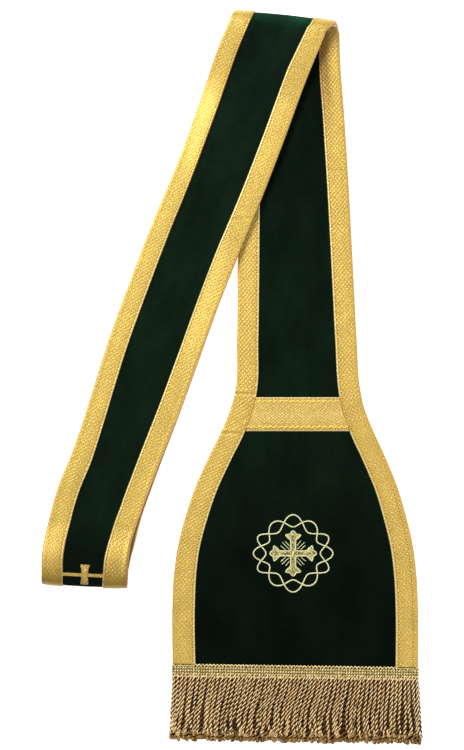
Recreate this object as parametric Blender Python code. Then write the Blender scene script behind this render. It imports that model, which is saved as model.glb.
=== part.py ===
"""A velvet clerical stole with braid borders, embroidery and a bullion fringe, lying flat.

The stole is folded in half at the neck, so its two halves lie back to back, and the pair is
folded over once more near the middle. The slanting stretch runs from the neck fold, at the
lower left, up to the top fold. There the pair turns under and comes straight down to the
spade end. Each stretch shows one half and hides the other below it. Sizes are in millimetres
up to the point where a mesh is written.
"""

import math
from collections import namedtuple

import bmesh
import bpy
import numpy as np

MM = 0.001


def table(columns, *rows):
    """A short table: its named columns, each read down its rows."""
    return dict(zip(columns.split(), zip(*rows)))


# The middle of the whole outline, which becomes the origin
ORIGIN = (-0.2, -1.46)

# Cloth thicknesses, and the spaces between pieces
VELVET_WALL = 1.6
BRAID_WALL = 1.0
SEAM_GAP = 0.3
LAYER_GAP = 0.3
VELVET_INSET = 0.5
HIDDEN_INSET = 1.2

# Depths from the surface between the two halves, outwards through one half
BACK = LAYER_GAP / 2
VELVET_FACE = BACK + VELVET_WALL
BRAID_BACK = VELVET_FACE + SEAM_GAP
BRAID_FACE = BRAID_BACK + BRAID_WALL

# Heights of the surface between the two halves
REST_HEIGHT = BRAID_FACE
CROSSING_HEIGHT = REST_HEIGHT + 2 * BRAID_FACE + SEAM_GAP

# Trim
BORDER_WIDTH = 18.0
CROSSBAR_TOP = -19.3
CROSSBAR_BOTTOM = -46.6
NECK_UPRIGHT_WIDTH = 6.8
NECK_UPRIGHT_TOP = -163.3
NECK_UPRIGHT_TURN = 0.33
NECK_ARM_TOP = -169.6
NECK_ARM_TURN = 0.04
NECK_ARM_WALL = 0.8
NECK_ARM_SHOULDER = 3.0

# A fold: a point on its crest, the slant of its axis, its radius, how far its crest bows out,
# the length over which the cloth rises to it, how far it runs on underneath, and the side of
# the crest that the cloth lies on
Fold = namedtuple("Fold", "x y angle radius bow rise under side")
TOP_FOLD = Fold(46.1, 305.4, math.radians(-6.0), 7.0, 1.4, 65.0, 7.0, -1)
NECK_FOLD = Fold(-125.15, -177.6, math.radians(-2.7), 5.0, 1.2, 45.0, 8.0, 1)
ROW_TURN = 60.0

# The top fold from above (turn 0) to below (turn 1): its middle along the axis, half its width
TOP_FOLD_ROWS = table(
    "turn along half",
    (0.0, -5.2, 41.8),
    (0.5, 0.5, 43.2),
    (1.0, 3.5, 44.2),
)

# Drape of the slanting stretch beside the straight one, which lies under it
DRAPE_START = 7.0
DRAPE_RUN = 42.0

# The slanting stretch: the middle of the band, and half its true width
SLANT = table(
    "y middle half",
    (-172.6, -124.9, 36.8),
    (-157.0, -124.2, 37.4),
    (-132.0, -119.4, 37.6),
    (-107.0, -112.8, 37.2),
    (-81.0, -102.8, 36.6),
    (-55.0, -93.3, 37.0),
    (-21.0, -81.2, 38.2),
    (13.0, -69.6, 39.1),
    (65.0, -50.6, 39.3),
    (116.0, -31.0, 39.3),
    (168.0, -9.4, 39.2),
    (218.0, 9.6, 39.4),
    (269.0, 27.8, 39.9),
    (299.0, 40.2, 39.7),
)

# How far the hidden layer shows past the right edge of the slanting stretch
PEEP = table(
    "y out",
    (-172.6, -0.5),
    (-140.0, 2.6),
    (-60.0, 1.8),
    (65.0, 1.2),
    (110.0, 0.2),
    (299.0, -1.0),
)

# The straight stretch and the spade end: the middle, and half the width of each row
LEG = table(
    "y middle half",
    (298.1, 48.9, 44.2),
    (270.0, 50.0, 43.7),
    (219.0, 52.0, 45.2),
    (150.0, 54.0, 47.5),
    (82.0, 55.5, 49.5),
    (30.0, 56.5, 51.2),
    (-14.0, 57.3, 53.7),
    (-25.0, 57.1, 56.2),
    (-45.0, 57.0, 63.8),
    (-68.0, 56.6, 74.7),
    (-94.0, 56.1, 85.9),
    (-120.0, 55.6, 94.2),
    (-145.0, 55.3, 100.4),
    (-171.0, 55.0, 103.9),
    (-200.0, 55.0, 105.3),
    (-249.0, 55.2, 105.2),
)
HEM_Y = LEG["y"][-1]
SPADE_FULL = -171.0
HEM_ANGLE = math.radians(-0.85)
HEM_TURN = 50.0

# Fringe: a woven heading below the hem, and its strands
STRANDS = 68
HEADING_DEPTH = 12.0
HEADING_WALL = 2.6
HEADING_SCALLOP = 0.7
HEADING_OUT = 0.6
STRAND_WIDTH = 2.3
STRAND_LENGTH = 51.5
STRAND_FLARE = 1.02
STRAND_CLEARANCE = 0.5
STRAND_SWAY = 0.45
STRAND_UNEVEN = 2.2
SWAY_WAVE = 31.0
UNEVEN_WAVE = 97.0
STRAND_SECTIONS = table(
    "down drop size",
    (0.30, 0.25, 1.0),
    (0.62, 0.70, 1.0),
    (0.93, 1.00, 0.95),
    (1.00, 1.00, 0.45),
)

# Embroidery on the spade end
MOTIF = (53.3, -152.6)
EMBROIDERY_WALL = 0.9
RING_RADIUS = 28.6
RING_WAVE = 5.5
RING_LOBES = 6
RING_STRAND = 2.0
RING_STEPS = 60
UNDER_RAISE = 0.06
UNDER_DROP = 0.12
CROSS_ARM = table(
    "aside out",
    (2.9, 2.9),
    (2.9, 12.9),
    (7.1, 15.5),
    (2.9, 17.3),
    (0.0, 20.6),
)

# Mesh steps
ARC_STEPS = 8
NECK_RISE_STEPS = 7
SLANT_STEPS = 16
TOP_RISE_STEPS = 8
CROSSBAR_STEPS = 3
PROBE = 0.01

# Rims, as (distance out, level from the low face to the high one)
RIM_BULGE = 0.3
ROUND_RIM = ((RIM_BULGE, 0.5),)
LAYERED_RIM = ((0.4, 0.8), (0.2, 0.62), (-0.5, 0.5), (0.3, 0.36), (0.3, 0.12))

Finish = namedtuple("Finish", "colour roughness metallic")
VELVET = Finish((0.012, 0.075, 0.040), 0.9, 0.0)
GOLD_BRAID = Finish((0.72, 0.45, 0.12), 0.45, 0.6)
GOLD_THREAD = Finish((0.75, 0.70, 0.38), 0.5, 0.4)
GOLD_FRINGE = Finish((0.55, 0.34, 0.12), 0.5, 0.5)
LINING = Finish((0.10, 0.07, 0.045), 0.8, 0.0)

Row = namedtuple("Row", "x y angle half height bow")


def ease(t):
    """Rises from 0 to 1 as t does, level at both ends."""
    t = min(max(t, 0.0), 1.0)
    return t * t * (3 - 2 * t)


def column(table, name, at, key="y"):
    """Reads a table's column at a value of its key column, along a smooth curve."""
    keys = np.array(table[key], float)
    values = np.array(table[name], float)
    if keys[0] > keys[-1]:
        keys, values = keys[::-1], values[::-1]
    slopes = np.gradient(values, keys)
    at = min(max(at, keys[0]), keys[-1])
    low = min(max(int(np.searchsorted(keys, at)) - 1, 0), len(keys) - 2)
    span = keys[low + 1] - keys[low]
    t = (at - keys[low]) / span
    rise = values[low + 1] - values[low]
    bend = t * (1 - t) * ((1 - t) * span * slopes[low] - t * span * slopes[low + 1])
    return float(values[low] + rise * ease(t) + bend)


def distance_in(fold, x, y):
    """Distance of a point from a fold's crest, on the side where the cloth lies."""
    return fold.side * ((y - fold.y) * math.cos(fold.angle) - (x - fold.x) * math.sin(fold.angle))


def slant_height(x, y, lifted):
    """Height of the surface between the halves in the slanting stretch.

    The upper half is lifted off the lower one as it rises to the neck fold.
    """
    near_top = ease(1 - (distance_in(TOP_FOLD, x, y) - TOP_FOLD.radius) / TOP_FOLD.rise)
    over = CROSSING_HEIGHT + (REST_HEIGHT + 2 * TOP_FOLD.radius - CROSSING_HEIGHT) * near_top
    leg_edge = column(LEG, "middle", y) - column(LEG, "half", y)
    carried = ease(1 - (leg_edge - DRAPE_START - x) / DRAPE_RUN)
    height = REST_HEIGHT + (over - REST_HEIGHT) * (carried + (1 - carried) * near_top)
    if lifted:
        near_neck = ease(1 - (distance_in(NECK_FOLD, x, y) - NECK_FOLD.radius) / NECK_FOLD.rise)
        height += 2 * NECK_FOLD.radius * near_neck
    return height


def slant_row(y):
    """A row square to the slanting stretch, turned near each end to lie along the fold there."""
    lean = math.atan2(column(SLANT, "middle", y + 1) - column(SLANT, "middle", y - 1), 2)
    near_top = ease(1 - (SLANT["y"][-1] - y) / ROW_TURN)
    near_neck = ease(1 - (y - SLANT["y"][0]) / ROW_TURN)
    angle = (TOP_FOLD.angle + lean) * near_top + (NECK_FOLD.angle + lean) * near_neck - lean
    half = column(SLANT, "half", y) / math.cos(lean + angle)
    return Row(column(SLANT, "middle", y), y, angle, half, None, 0.0)


def leg_row(y):
    """A row across the straight stretch, level but for the top fold's slant and the hem's."""
    near_top = ease(1 - (LEG["y"][0] - y) / ROW_TURN)
    near_hem = ease(1 - (y - HEM_Y) / HEM_TURN)
    angle = TOP_FOLD.angle * near_top + HEM_ANGLE * near_hem
    return Row(column(LEG, "middle", y), y, angle, column(LEG, "half", y), REST_HEIGHT, 0.0)


def fold_row(fold, turn, along, half):
    """A row on a half round fold, from its top (turn 0) to its bottom (turn 1) and on under it."""
    round_turn = math.pi * min(turn, 1.0)
    run_on = math.pi * max(turn - 1.0, 0.0)
    back = fold.side * fold.radius * (1 - math.sin(round_turn) + run_on)
    x = fold.x + along * math.cos(fold.angle) - back * math.sin(fold.angle)
    y = fold.y + along * math.sin(fold.angle) + back * math.cos(fold.angle)
    height = REST_HEIGHT + fold.radius * (1 + math.cos(round_turn))
    return Row(x, y, fold.angle, half, height, fold.side * fold.bow * math.sin(round_turn))


def top_row(turn):
    along = column(TOP_FOLD_ROWS, "along", turn, "turn")
    return fold_row(TOP_FOLD, turn, along, column(TOP_FOLD_ROWS, "half", turn, "turn"))


def neck_row(turn):
    return fold_row(NECK_FOLD, turn, 0.0, SLANT["half"][0])


# Each zone of the cloth: its rows, the way travel goes along it from the neck, and its limits
Zone = namedtuple("Zone", "row travel first last")
ZONES = {
    "neck": Zone(neck_row, -1, 0.0, 2.0),
    "slant": Zone(slant_row, 1, SLANT["y"][0], SLANT["y"][-1]),
    "top": Zone(top_row, 1, 0.0, 1.0),
    "leg": Zone(leg_row, -1, HEM_Y - 2 * HEADING_DEPTH, LEG["y"][0]),
}


def surface_point(zone, at, across, lifted):
    """A point of the surface between the halves, `across` millimetres right of the row's middle."""
    row = ZONES[zone].row(at)
    bow = row.bow * (1 - (across / row.half) ** 2)
    x = row.x + across * math.cos(row.angle) + bow * math.sin(row.angle)
    y = row.y + across * math.sin(row.angle) - bow * math.cos(row.angle)
    height = slant_height(x, y, lifted) if row.height is None else row.height
    return np.array((x, y, height))


def ends_round(zone, at):
    """Two places just before and after this one, in the direction of travel."""
    limits = ZONES[zone]
    ends = [min(max(at + step, limits.first), limits.last) for step in (-PROBE, PROBE)]
    return ends if limits.travel > 0 else ends[::-1]


def border_span(zone, at):
    """Half the row's length, and the border's width as measured along the row."""
    row = ZONES[zone].row(at)
    before, after = ends_round(zone, at)
    widths = []
    for side in (-1, 1):
        start = surface_point(zone, before, side * ZONES[zone].row(before).half, False)
        end = surface_point(zone, after, side * ZONES[zone].row(after).half, False)
        run = (end - start) / np.linalg.norm(end - start)
        square = np.linalg.norm(np.cross(run, (math.cos(row.angle), math.sin(row.angle), 0.0)))
        widths.append(BORDER_WIDTH / square)
    return row.half, *widths


def velvet_lines(zone, at):
    half, left, right = border_span(zone, at)
    inner_left, inner_right = left - half, half - right
    third = (inner_right - inner_left) / 3
    return (
        VELVET_INSET - half,
        left / 2 - half,
        inner_left,
        inner_left + third,
        inner_right - third,
        inner_right,
        half - right / 2,
        half - VELVET_INSET,
    )


def left_border_lines(zone, at):
    half, left, _ = border_span(zone, at)
    return -half, left / 2 - half, left - half


def right_border_lines(zone, at):
    half, _, right = border_span(zone, at)
    return half - right, half - right / 2, half


def hidden_slant_lines(zone, at):
    lines = list(velvet_lines(zone, at))
    lines[0] += HIDDEN_INSET
    lines[-1] += VELVET_INSET + column(PEEP, "out", at)
    return lines


def hidden_leg_lines(zone, at):
    half = ZONES[zone].row(at).half - HIDDEN_INSET
    return -half, -half / 2, half / 2, half


def between_borders_lines(zone, at):
    half, left, right = border_span(zone, at)
    clear = SEAM_GAP + 2 * RIM_BULGE
    return left - half + clear, 0.0, half - right - clear


def neck_upright_lines(zone, at):
    return -NECK_UPRIGHT_WIDTH / 2, NECK_UPRIGHT_WIDTH / 2


def neck_arm_lines(zone, at):
    left, _, right = between_borders_lines(zone, at)
    over = NECK_UPRIGHT_WIDTH / 2 + SEAM_GAP
    return left, -over - NECK_ARM_SHOULDER, -over, over, over + NECK_ARM_SHOULDER, right


def neck_arm_lift(across):
    """The arm steps up where it passes over the upright."""
    over_upright = abs(across) <= NECK_UPRIGHT_WIDTH / 2 + SEAM_GAP + PROBE
    return BRAID_WALL + SEAM_GAP if over_upright else 0.0


def level(across):
    return 0.0


def ring_of(zone, at, across_lines, low, high, rim, lifted, lift):
    """One closed section of a wall, square to the surface: its high face, then its low face."""
    before, after = ends_round(zone, at)
    faces = {low: [], high: []}
    rims = []
    lines = across_lines(zone, at)
    for index, across in enumerate(lines):
        base = surface_point(zone, at, across, lifted)
        along = surface_point(zone, after, across, lifted) - surface_point(zone, before, across, lifted)
        right, left = (surface_point(zone, at, across + step, lifted) for step in (PROBE, -PROBE))
        aside = (right - left) / np.linalg.norm(right - left)
        normal = np.cross(aside, along)
        normal /= np.linalg.norm(normal)
        for depth in (low, high):
            faces[depth].append(base + normal * (depth + math.copysign(lift(across), high)))
        if index in (0, len(lines) - 1):
            outward = aside if index else -aside
            depths = [low + share * (high - low) for _, share in rim]
            rims.append([base + outward * out + normal * depth for (out, _), depth in zip(rim, depths)])
    return faces[high] + rims[1] + faces[low][::-1] + rims[0][::-1]


def material_for(name, finish):
    material = bpy.data.materials.new(name)
    material.use_nodes = True
    shader = material.node_tree.nodes["Principled BSDF"]
    shader.inputs["Base Color"].default_value = (*finish.colour, 1.0)
    shader.inputs["Roughness"].default_value = finish.roughness
    shader.inputs["Metallic"].default_value = finish.metallic
    return material


def add_solid(name, points, faces, finish):
    """Makes an object in metres about the origin, with its faces turned outwards."""
    mesh = bpy.data.meshes.new(name)
    placed = (np.array(points) - (ORIGIN[0], ORIGIN[1], 0.0)) * MM
    mesh.from_pydata(placed.tolist(), [], faces)
    shell = bmesh.new()
    shell.from_mesh(mesh)
    bmesh.ops.recalc_face_normals(shell, faces=shell.faces)
    shell.to_mesh(mesh)
    shell.free()
    mesh.shade_smooth()
    mesh.set_sharp_from_angle(angle=math.radians(40))
    solid = bpy.data.objects.new(name, mesh)
    solid.data.materials.append(material_for(name, finish))
    bpy.context.scene.collection.objects.link(solid)
    return solid


def add_wall(name, stations, lines, depths, finish, rim=ROUND_RIM, lifted=False, lift=level):
    """A cloth wall through a ring at each station, closed by a face at each end.

    Each four-sided patch is split along the same diagonal on the low face as on the high one,
    so that walls which lie on each other keep their distance where the cloth twists.
    """
    low, high = depths
    rings = [ring_of(zone, at, lines, low, high, rim, lifted, lift) for zone, at in stations]
    size = len(rings[0])
    low_face = range(size // 2, size - len(rim) - 1)
    faces = [list(range(size)), [(len(rings) - 1) * size + i for i in range(size)]]
    for ring in range(len(rings) - 1):
        for i in range(size):
            near, beside = ring * size + i, ring * size + (i + 1) % size
            far, far_beside = near + size, beside + size
            if i in low_face:
                faces += [[near, beside, far], [beside, far_beside, far]]
            else:
                faces += [[near, beside, far_beside], [near, far_beside, far]]
    return add_solid(name, np.concatenate(rings), faces, finish)


def steps(first, last, count):
    """Evenly spaced places, both ends included."""
    return [float(at) for at in np.linspace(first, last, count + 1)]


def joined(zone, *runs):
    """Stations of a zone, from runs of places that each start where the last one ended."""
    places = list(runs[0])
    for run in runs[1:]:
        places += run[1:]
    return [(zone, at) for at in places]


def slant_stations(first, last):
    """Close rows by the neck fold and the top fold, wider ones between."""
    neck_end = SLANT["y"][0] + NECK_FOLD.rise
    top_start = SLANT["y"][-1] - TOP_FOLD.rise
    return joined(
        "slant",
        steps(first, neck_end, NECK_RISE_STEPS),
        steps(neck_end, top_start, SLANT_STEPS),
        steps(top_start, last, TOP_RISE_STEPS),
    )


def upper_half_stations():
    """From under the neck fold, over the slanting stretch, to under the top fold."""
    under_neck = ("neck", 1 + NECK_FOLD.under / (math.pi * NECK_FOLD.radius))
    neck = joined("neck", steps(1.0, 0.0, ARC_STEPS))
    slant = slant_stations(SLANT["y"][0], SLANT["y"][-1])
    top = joined("top", steps(0.0, 1.0, ARC_STEPS))
    under_top = ("leg", LEG["y"][0] - TOP_FOLD.under)
    return [under_neck] + neck + slant[1:] + top[1:] + [under_top]


def leg_stations():
    """Rows down the straight stretch, closest on the curve of the spade."""
    return joined(
        "leg",
        steps(LEG["y"][0], CROSSBAR_TOP, 8),
        steps(CROSSBAR_TOP, CROSSBAR_BOTTOM, CROSSBAR_STEPS),
        steps(CROSSBAR_BOTTOM, SPADE_FULL, 9),
        steps(SPADE_FULL, HEM_Y, 3),
    )


def lower_half_stations():
    """From the top of the inner fold, round it and down to the hem."""
    return joined("top", steps(0.0, 1.0, ARC_STEPS)) + leg_stations()[1:]


def add_slanting_half():
    stations = upper_half_stations()
    add_wall("slant_velvet", stations, velvet_lines, (BACK, VELVET_FACE), VELVET, lifted=True)
    for side, lines in (("left", left_border_lines), ("right", right_border_lines)):
        name = "slant_border_" + side
        add_wall(name, stations, lines, (BRAID_BACK, BRAID_FACE), GOLD_BRAID, lifted=True)


def add_straight_half():
    stations = lower_half_stations()
    add_wall("leg_velvet", stations, velvet_lines, (-BACK, -VELVET_FACE), VELVET)
    for side, lines in (("left", left_border_lines), ("right", right_border_lines)):
        name = "leg_border_" + side
        add_wall(name, stations, lines, (-BRAID_BACK, -BRAID_FACE), GOLD_BRAID)
    crossbar = joined("leg", steps(CROSSBAR_TOP, CROSSBAR_BOTTOM, CROSSBAR_STEPS))
    add_wall("crossbar", crossbar, between_borders_lines, (-BRAID_BACK, -BRAID_FACE), GOLD_BRAID)


def add_hidden_layers():
    first = SLANT["y"][0] + NECK_FOLD.under + SEAM_GAP
    slant = slant_stations(first, SLANT["y"][-1] - SEAM_GAP)
    add_wall("hidden_slant", slant, hidden_slant_lines, (-BACK, -BRAID_FACE), LINING, rim=LAYERED_RIM)
    end = HEM_Y - SEAM_GAP - HEADING_DEPTH
    leg = [("leg", LEG["y"][0] - TOP_FOLD.under - SEAM_GAP)] + leg_stations()[1:] + [("leg", end)]
    add_wall("hidden_leg", leg, hidden_leg_lines, (BACK, BRAID_FACE), LINING, rim=LAYERED_RIM)


def add_neck_cross():
    """An upright of braid at the neck fold, with an arm of narrower braid over it."""
    upright = joined("neck", steps(NECK_UPRIGHT_TURN, 0.0, 3))
    upright += joined("slant", steps(SLANT["y"][0], NECK_UPRIGHT_TOP, 2))[1:]
    depths = (BRAID_BACK, BRAID_FACE)
    add_wall("neck_cross_upright", upright, neck_upright_lines, depths, GOLD_BRAID, lifted=True)
    arm = [("neck", NECK_ARM_TURN), ("neck", 0.0), ("slant", NECK_ARM_TOP)]
    depths = (BRAID_BACK, BRAID_BACK + NECK_ARM_WALL)
    add_wall("neck_cross_arm", arm, neck_arm_lines, depths, GOLD_BRAID, lifted=True, lift=neck_arm_lift)


def add_ring_strand(name, wave, base, top):
    """A closed strand of square section, its radius waving in and out."""
    points, faces = [], []
    for step in range(RING_STEPS):
        turn = 2 * math.pi * step / RING_STEPS
        radius = RING_RADIUS + wave * math.cos(RING_LOBES * turn)
        slope = -wave * RING_LOBES * math.sin(RING_LOBES * turn) / radius
        spread = RING_STRAND / 2 * math.hypot(1, slope)
        for reach, height in ((-spread, base), (spread, base), (spread, top), (-spread, top)):
            x = MOTIF[0] + (radius + reach) * math.sin(turn)
            y = MOTIF[1] + (radius + reach) * math.cos(turn)
            points.append((x, y, height))
        after = (step + 1) % RING_STEPS
        for corner in range(4):
            beside = (corner + 1) % 4
            faces.append([step * 4 + corner, step * 4 + beside, after * 4 + beside, after * 4 + corner])
    return add_solid(name, points, faces, GOLD_THREAD)


def add_ring():
    """Two strands that cross twelve times, joined into one embroidered ring."""
    base = REST_HEIGHT + BRAID_BACK
    top = base + EMBROIDERY_WALL
    ring = add_ring_strand("ring", RING_WAVE, base, top)
    under = add_ring_strand("second_strand", -RING_WAVE, base + UNDER_RAISE, top - UNDER_DROP)
    under.hide_render = True
    under.display_type = "WIRE"
    union = ring.modifiers.new("second strand", "BOOLEAN")
    union.operation = "UNION"
    union.solver = "EXACT"
    union.object = under


def add_cross():
    """A Greek cross with three-pointed ends, inside the ring."""
    arm = list(zip(CROSS_ARM["aside"], CROSS_ARM["out"]))
    arm += [(-aside, out) for aside, out in arm[-2:0:-1]]
    outline = []
    for quarter in range(4):
        turn = quarter * math.pi / 2
        for aside, out in arm:
            x = MOTIF[0] + aside * math.cos(turn) - out * math.sin(turn)
            y = MOTIF[1] + aside * math.sin(turn) + out * math.cos(turn)
            outline.append((x, y))
    base = REST_HEIGHT + BRAID_BACK
    size = len(outline)
    points = [(x, y, height) for height in (base, base + EMBROIDERY_WALL) for x, y in outline]
    faces = [list(range(size)), list(range(size, 2 * size))]
    for i in range(size):
        beside = (i + 1) % size
        faces.append([i, beside, beside + size, i + size])
    add_solid("cross", points, faces, GOLD_THREAD)


def strand_path(share, root_x, root_y):
    """Middle, half size and height of each section of a strand, `share` of the way across."""
    uneven = STRAND_UNEVEN * math.sin(UNEVEN_WAVE * share) * math.cos(SWAY_WAVE * share)
    sway = STRAND_SWAY * math.sin(SWAY_WAVE * share)
    middle = column(LEG, "middle", HEM_Y)
    tip_x = middle + (root_x - middle) * STRAND_FLARE + sway
    top = REST_HEIGHT + BACK + HEADING_WALL / 2
    floor = STRAND_CLEARANCE + STRAND_WIDTH / 2
    for down, drop, size in zip(*(STRAND_SECTIONS[name] for name in ("down", "drop", "size"))):
        y = root_y - down * (STRAND_LENGTH + uneven)
        yield root_x + (tip_x - root_x) * down, y, top + (floor - top) * drop, size * STRAND_WIDTH / 2


def add_fringe():
    """A woven heading with a scalloped upper edge, and the strands that grow from it."""
    row = leg_row(HEM_Y)
    half = row.half + HEADING_OUT
    pitch = 2 * half / STRANDS
    low, high = REST_HEIGHT + BACK, REST_HEIGHT + BACK + HEADING_WALL
    across = []
    for strand in range(STRANDS):
        root = -half + (strand + 0.5) * pitch
        across += [root - STRAND_WIDTH / 2, root + STRAND_WIDTH / 2]
    across = [-half] + across + [half]
    points, faces = [], []
    for index, aside in enumerate(across):
        on_loop = 0 if 1 <= index < len(across) - 1 and index % 4 in (1, 2) else HEADING_SCALLOP
        x = row.x + aside * math.cos(row.angle)
        y = row.y + aside * math.sin(row.angle) - SEAM_GAP
        for depth in (on_loop, HEADING_DEPTH):
            points += [(x, y - depth, low), (x, y - depth, high)]
    last = (len(across) - 1) * 4
    faces += [[0, 1, 3, 2], [last, last + 2, last + 3, last + 1]]
    for index in range(len(across) - 1):
        here, there = index * 4, index * 4 + 4
        faces.append([here, here + 2, there + 2, there])
        faces.append([here + 1, there + 1, there + 3, here + 3])
        faces.append([here, there, there + 1, here + 1])
        if index % 2 == 0:
            faces.append([here + 2, here + 3, there + 3, there + 2])
            continue
        section = [here + 2, there + 2, there + 3, here + 3]
        root_x = (points[here + 2][0] + points[there + 2][0]) / 2
        root_y = (points[here + 2][1] + points[there + 2][1]) / 2
        for x, y, height, size in strand_path(index / len(across), root_x, root_y):
            start = len(points)
            for aside, up in ((-size, -size), (size, -size), (size, size), (-size, size)):
                points.append((x + aside, y, height + up))
            following = list(range(start, start + 4))
            for i in range(4):
                beside = (i + 1) % 4
                faces.append([section[i], section[beside], following[beside], following[i]])
            section = following
        faces.append(section)
    add_solid("fringe", points, faces, GOLD_FRINGE)


def clear_scene():
    for existing in list(bpy.data.objects):
        bpy.data.objects.remove(existing, do_unlink=True)


clear_scene()
add_slanting_half()
add_straight_half()
add_hidden_layers()
add_neck_cross()
add_ring()
add_cross()
add_fringe()
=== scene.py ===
"""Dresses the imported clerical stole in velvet, gold galloon, embroidery and bullion fringe.

Sizes are in millimetres until a mesh is written. The stole lies folded: the slanting stretch
shows one half, the straight stretch shows the other, and each hides the half below it.
"""

import math
from collections import namedtuple

import bmesh
import bpy
import numpy as np
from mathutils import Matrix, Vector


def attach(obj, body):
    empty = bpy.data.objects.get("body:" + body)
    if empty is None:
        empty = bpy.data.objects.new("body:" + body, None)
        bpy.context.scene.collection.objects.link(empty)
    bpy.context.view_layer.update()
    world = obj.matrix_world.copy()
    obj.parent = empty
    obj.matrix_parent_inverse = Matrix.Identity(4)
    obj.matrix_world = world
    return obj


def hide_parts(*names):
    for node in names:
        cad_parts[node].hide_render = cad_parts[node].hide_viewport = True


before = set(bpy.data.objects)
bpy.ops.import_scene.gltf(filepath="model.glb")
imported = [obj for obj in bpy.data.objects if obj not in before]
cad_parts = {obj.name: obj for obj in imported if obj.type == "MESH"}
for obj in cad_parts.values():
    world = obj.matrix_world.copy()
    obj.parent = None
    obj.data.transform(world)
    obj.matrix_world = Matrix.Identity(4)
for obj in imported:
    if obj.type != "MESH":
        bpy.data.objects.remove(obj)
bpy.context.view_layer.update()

# ---------------------------------------------------------- velvet of the upper half
# Silk-pile velvet, one long strip of it. It comes from under the neck fold, shows along the
# slanting stretch and goes over the top fold. Its edges are turned in under the braid, and
# its back is a thin satin lining.
MM = 0.001
# Where the frame's origin lies in the sizes below
ORIGIN = np.array((-0.2, -1.46, 0.0))


def table(columns, *rows):
    """A short table: its named columns, each read down its rows."""
    return dict(zip(columns.split(), zip(*rows)))


# The half whose side a cloth is laid on
UPPER, LOWER = 1, -1
# Depths from the surface between the two halves, outwards through one half
LINING_DEPTH = 0.15
VELVET_DEPTH = 1.9
# Heights of that surface over the table: at rest, and where one stretch crosses the other
REST_HEIGHT = 3.05
CROSSING_HEIGHT = 9.45
# How far the velvet's edges lie inside the stole's, how much thinner they are pressed, and how
# far the rim of any cloth rounds out
VELVET_INSET = 0.5
EDGE_PRESSED = 0.25
RIM = 0.3
# How far apart the velvet's rows are made, and the parts of a fold's turn between two rows
VELVET_GAP = 3.0
NECK_STEP, TOP_STEP = 0.06, 0.05

# A fold: a point on its crest, the slant of its axis, its radius, how far its crest bows out,
# the length over which the cloth rises to it, how far it runs on underneath, and the side of
# the crest that the cloth lies on
Fold = namedtuple("Fold", "x y angle radius bow rise under side")
TOP_FOLD = Fold(46.1, 305.4, math.radians(-6.0), 7.0, 1.4, 65.0, 7.0, -1)
NECK_FOLD = Fold(-125.15, -177.6, math.radians(-2.7), 5.0, 1.2, 45.0, 8.0, 1)
TOP_FOLD_ROWS = table("turn along half", (0.0, -5.2, 41.8), (0.5, 0.5, 43.2), (1.0, 3.5, 44.2))
# The lengths over which the rows turn to lie along a fold and along the hem, and the hem's slant
ROW_TURN = 60.0
HEM_TURN = 50.0
HEM_ANGLE = math.radians(-0.85)
# How far in from the straight stretch's edge the crossing starts to lift, and over what length
DRAPE_START = 7.0
DRAPE_RUN = 42.0

# The slanting stretch: the middle of the band, and half its true width
SLANT = table(
    "y middle half",
    (-172.6, -124.9, 36.8), (-157.0, -124.2, 37.4), (-132.0, -119.4, 37.6),
    (-107.0, -112.8, 37.2), (-81.0, -102.8, 36.6), (-55.0, -93.3, 37.0),
    (-21.0, -81.2, 38.2), (13.0, -69.6, 39.1), (65.0, -50.6, 39.3),
    (116.0, -31.0, 39.3), (168.0, -9.4, 39.2), (218.0, 9.6, 39.4),
    (269.0, 27.8, 39.9), (299.0, 40.2, 39.7),
)

# The straight stretch and the spade end: the middle, and half the width of each row
LEG = table(
    "y middle half",
    (298.1, 48.9, 44.2), (270.0, 50.0, 43.7), (219.0, 52.0, 45.2), (150.0, 54.0, 47.5),
    (82.0, 55.5, 49.5), (30.0, 56.5, 51.2), (-14.0, 57.3, 53.7), (-25.0, 57.1, 56.2),
    (-45.0, 57.0, 63.8), (-68.0, 56.6, 74.7), (-94.0, 56.1, 85.9), (-120.0, 55.6, 94.2),
    (-145.0, 55.3, 100.4), (-171.0, 55.0, 103.9), (-200.0, 55.0, 105.3), (-249.0, 55.2, 105.2),
)
HEM_Y = LEG["y"][-1]

# Soft creases and tucks of the upper half: two ends, half width, height
SLANT_CREASES = (
    (-138, -96, -96, -8, 9.0, 0.45), (-106, -128, -82, -40, 7.0, -0.35),
    (-84, 6, -40, 118, 10.0, 0.40), (-44, 60, -8, 150, 8.0, -0.40),
    (-22, 96, 20, 214, 9.0, 0.35), (18, 176, 48, 262, 8.0, -0.35),
    (2, 262, 60, 254, 6.0, 0.30), (-148, -132, -104, -140, 7.0, 0.35),
    (0.3, 134.0, 18.5, 134.4, 0.9, -0.42), (-1.0, 136.2, 18.0, 136.6, 1.6, 0.22),
    (-66, 58, -48, 62, 2.2, -0.22), (-62, 20, -43, 12, 3.0, 0.25),
)

Row = namedtuple("Row", "x y angle half height bow")
Zone = namedtuple("Zone", "row travel first last")
# A way along or across the cloth is found from two places this far to each side
PROBE = 0.01


def ease(t):
    """Rises from 0 to 1 as t does, level at both ends."""
    t = np.clip(t, 0.0, 1.0)
    return t * t * (3 - 2 * t)


def column(rows, name, at, key="y"):
    """Reads a table's column at values of its key column, along a smooth curve."""
    keys, values = np.array(rows[key], float), np.array(rows[name], float)
    if keys[0] > keys[-1]:
        keys, values = keys[::-1], values[::-1]
    slopes = np.gradient(values, keys)
    at = np.clip(at, keys[0], keys[-1])
    low = np.clip(np.searchsorted(keys, at) - 1, 0, len(keys) - 2)
    span = keys[low + 1] - keys[low]
    t = (at - keys[low]) / span
    bend = t * (1 - t) * ((1 - t) * span * slopes[low] - t * span * slopes[low + 1])
    return values[low] + (values[low + 1] - values[low]) * ease(t) + bend


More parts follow.
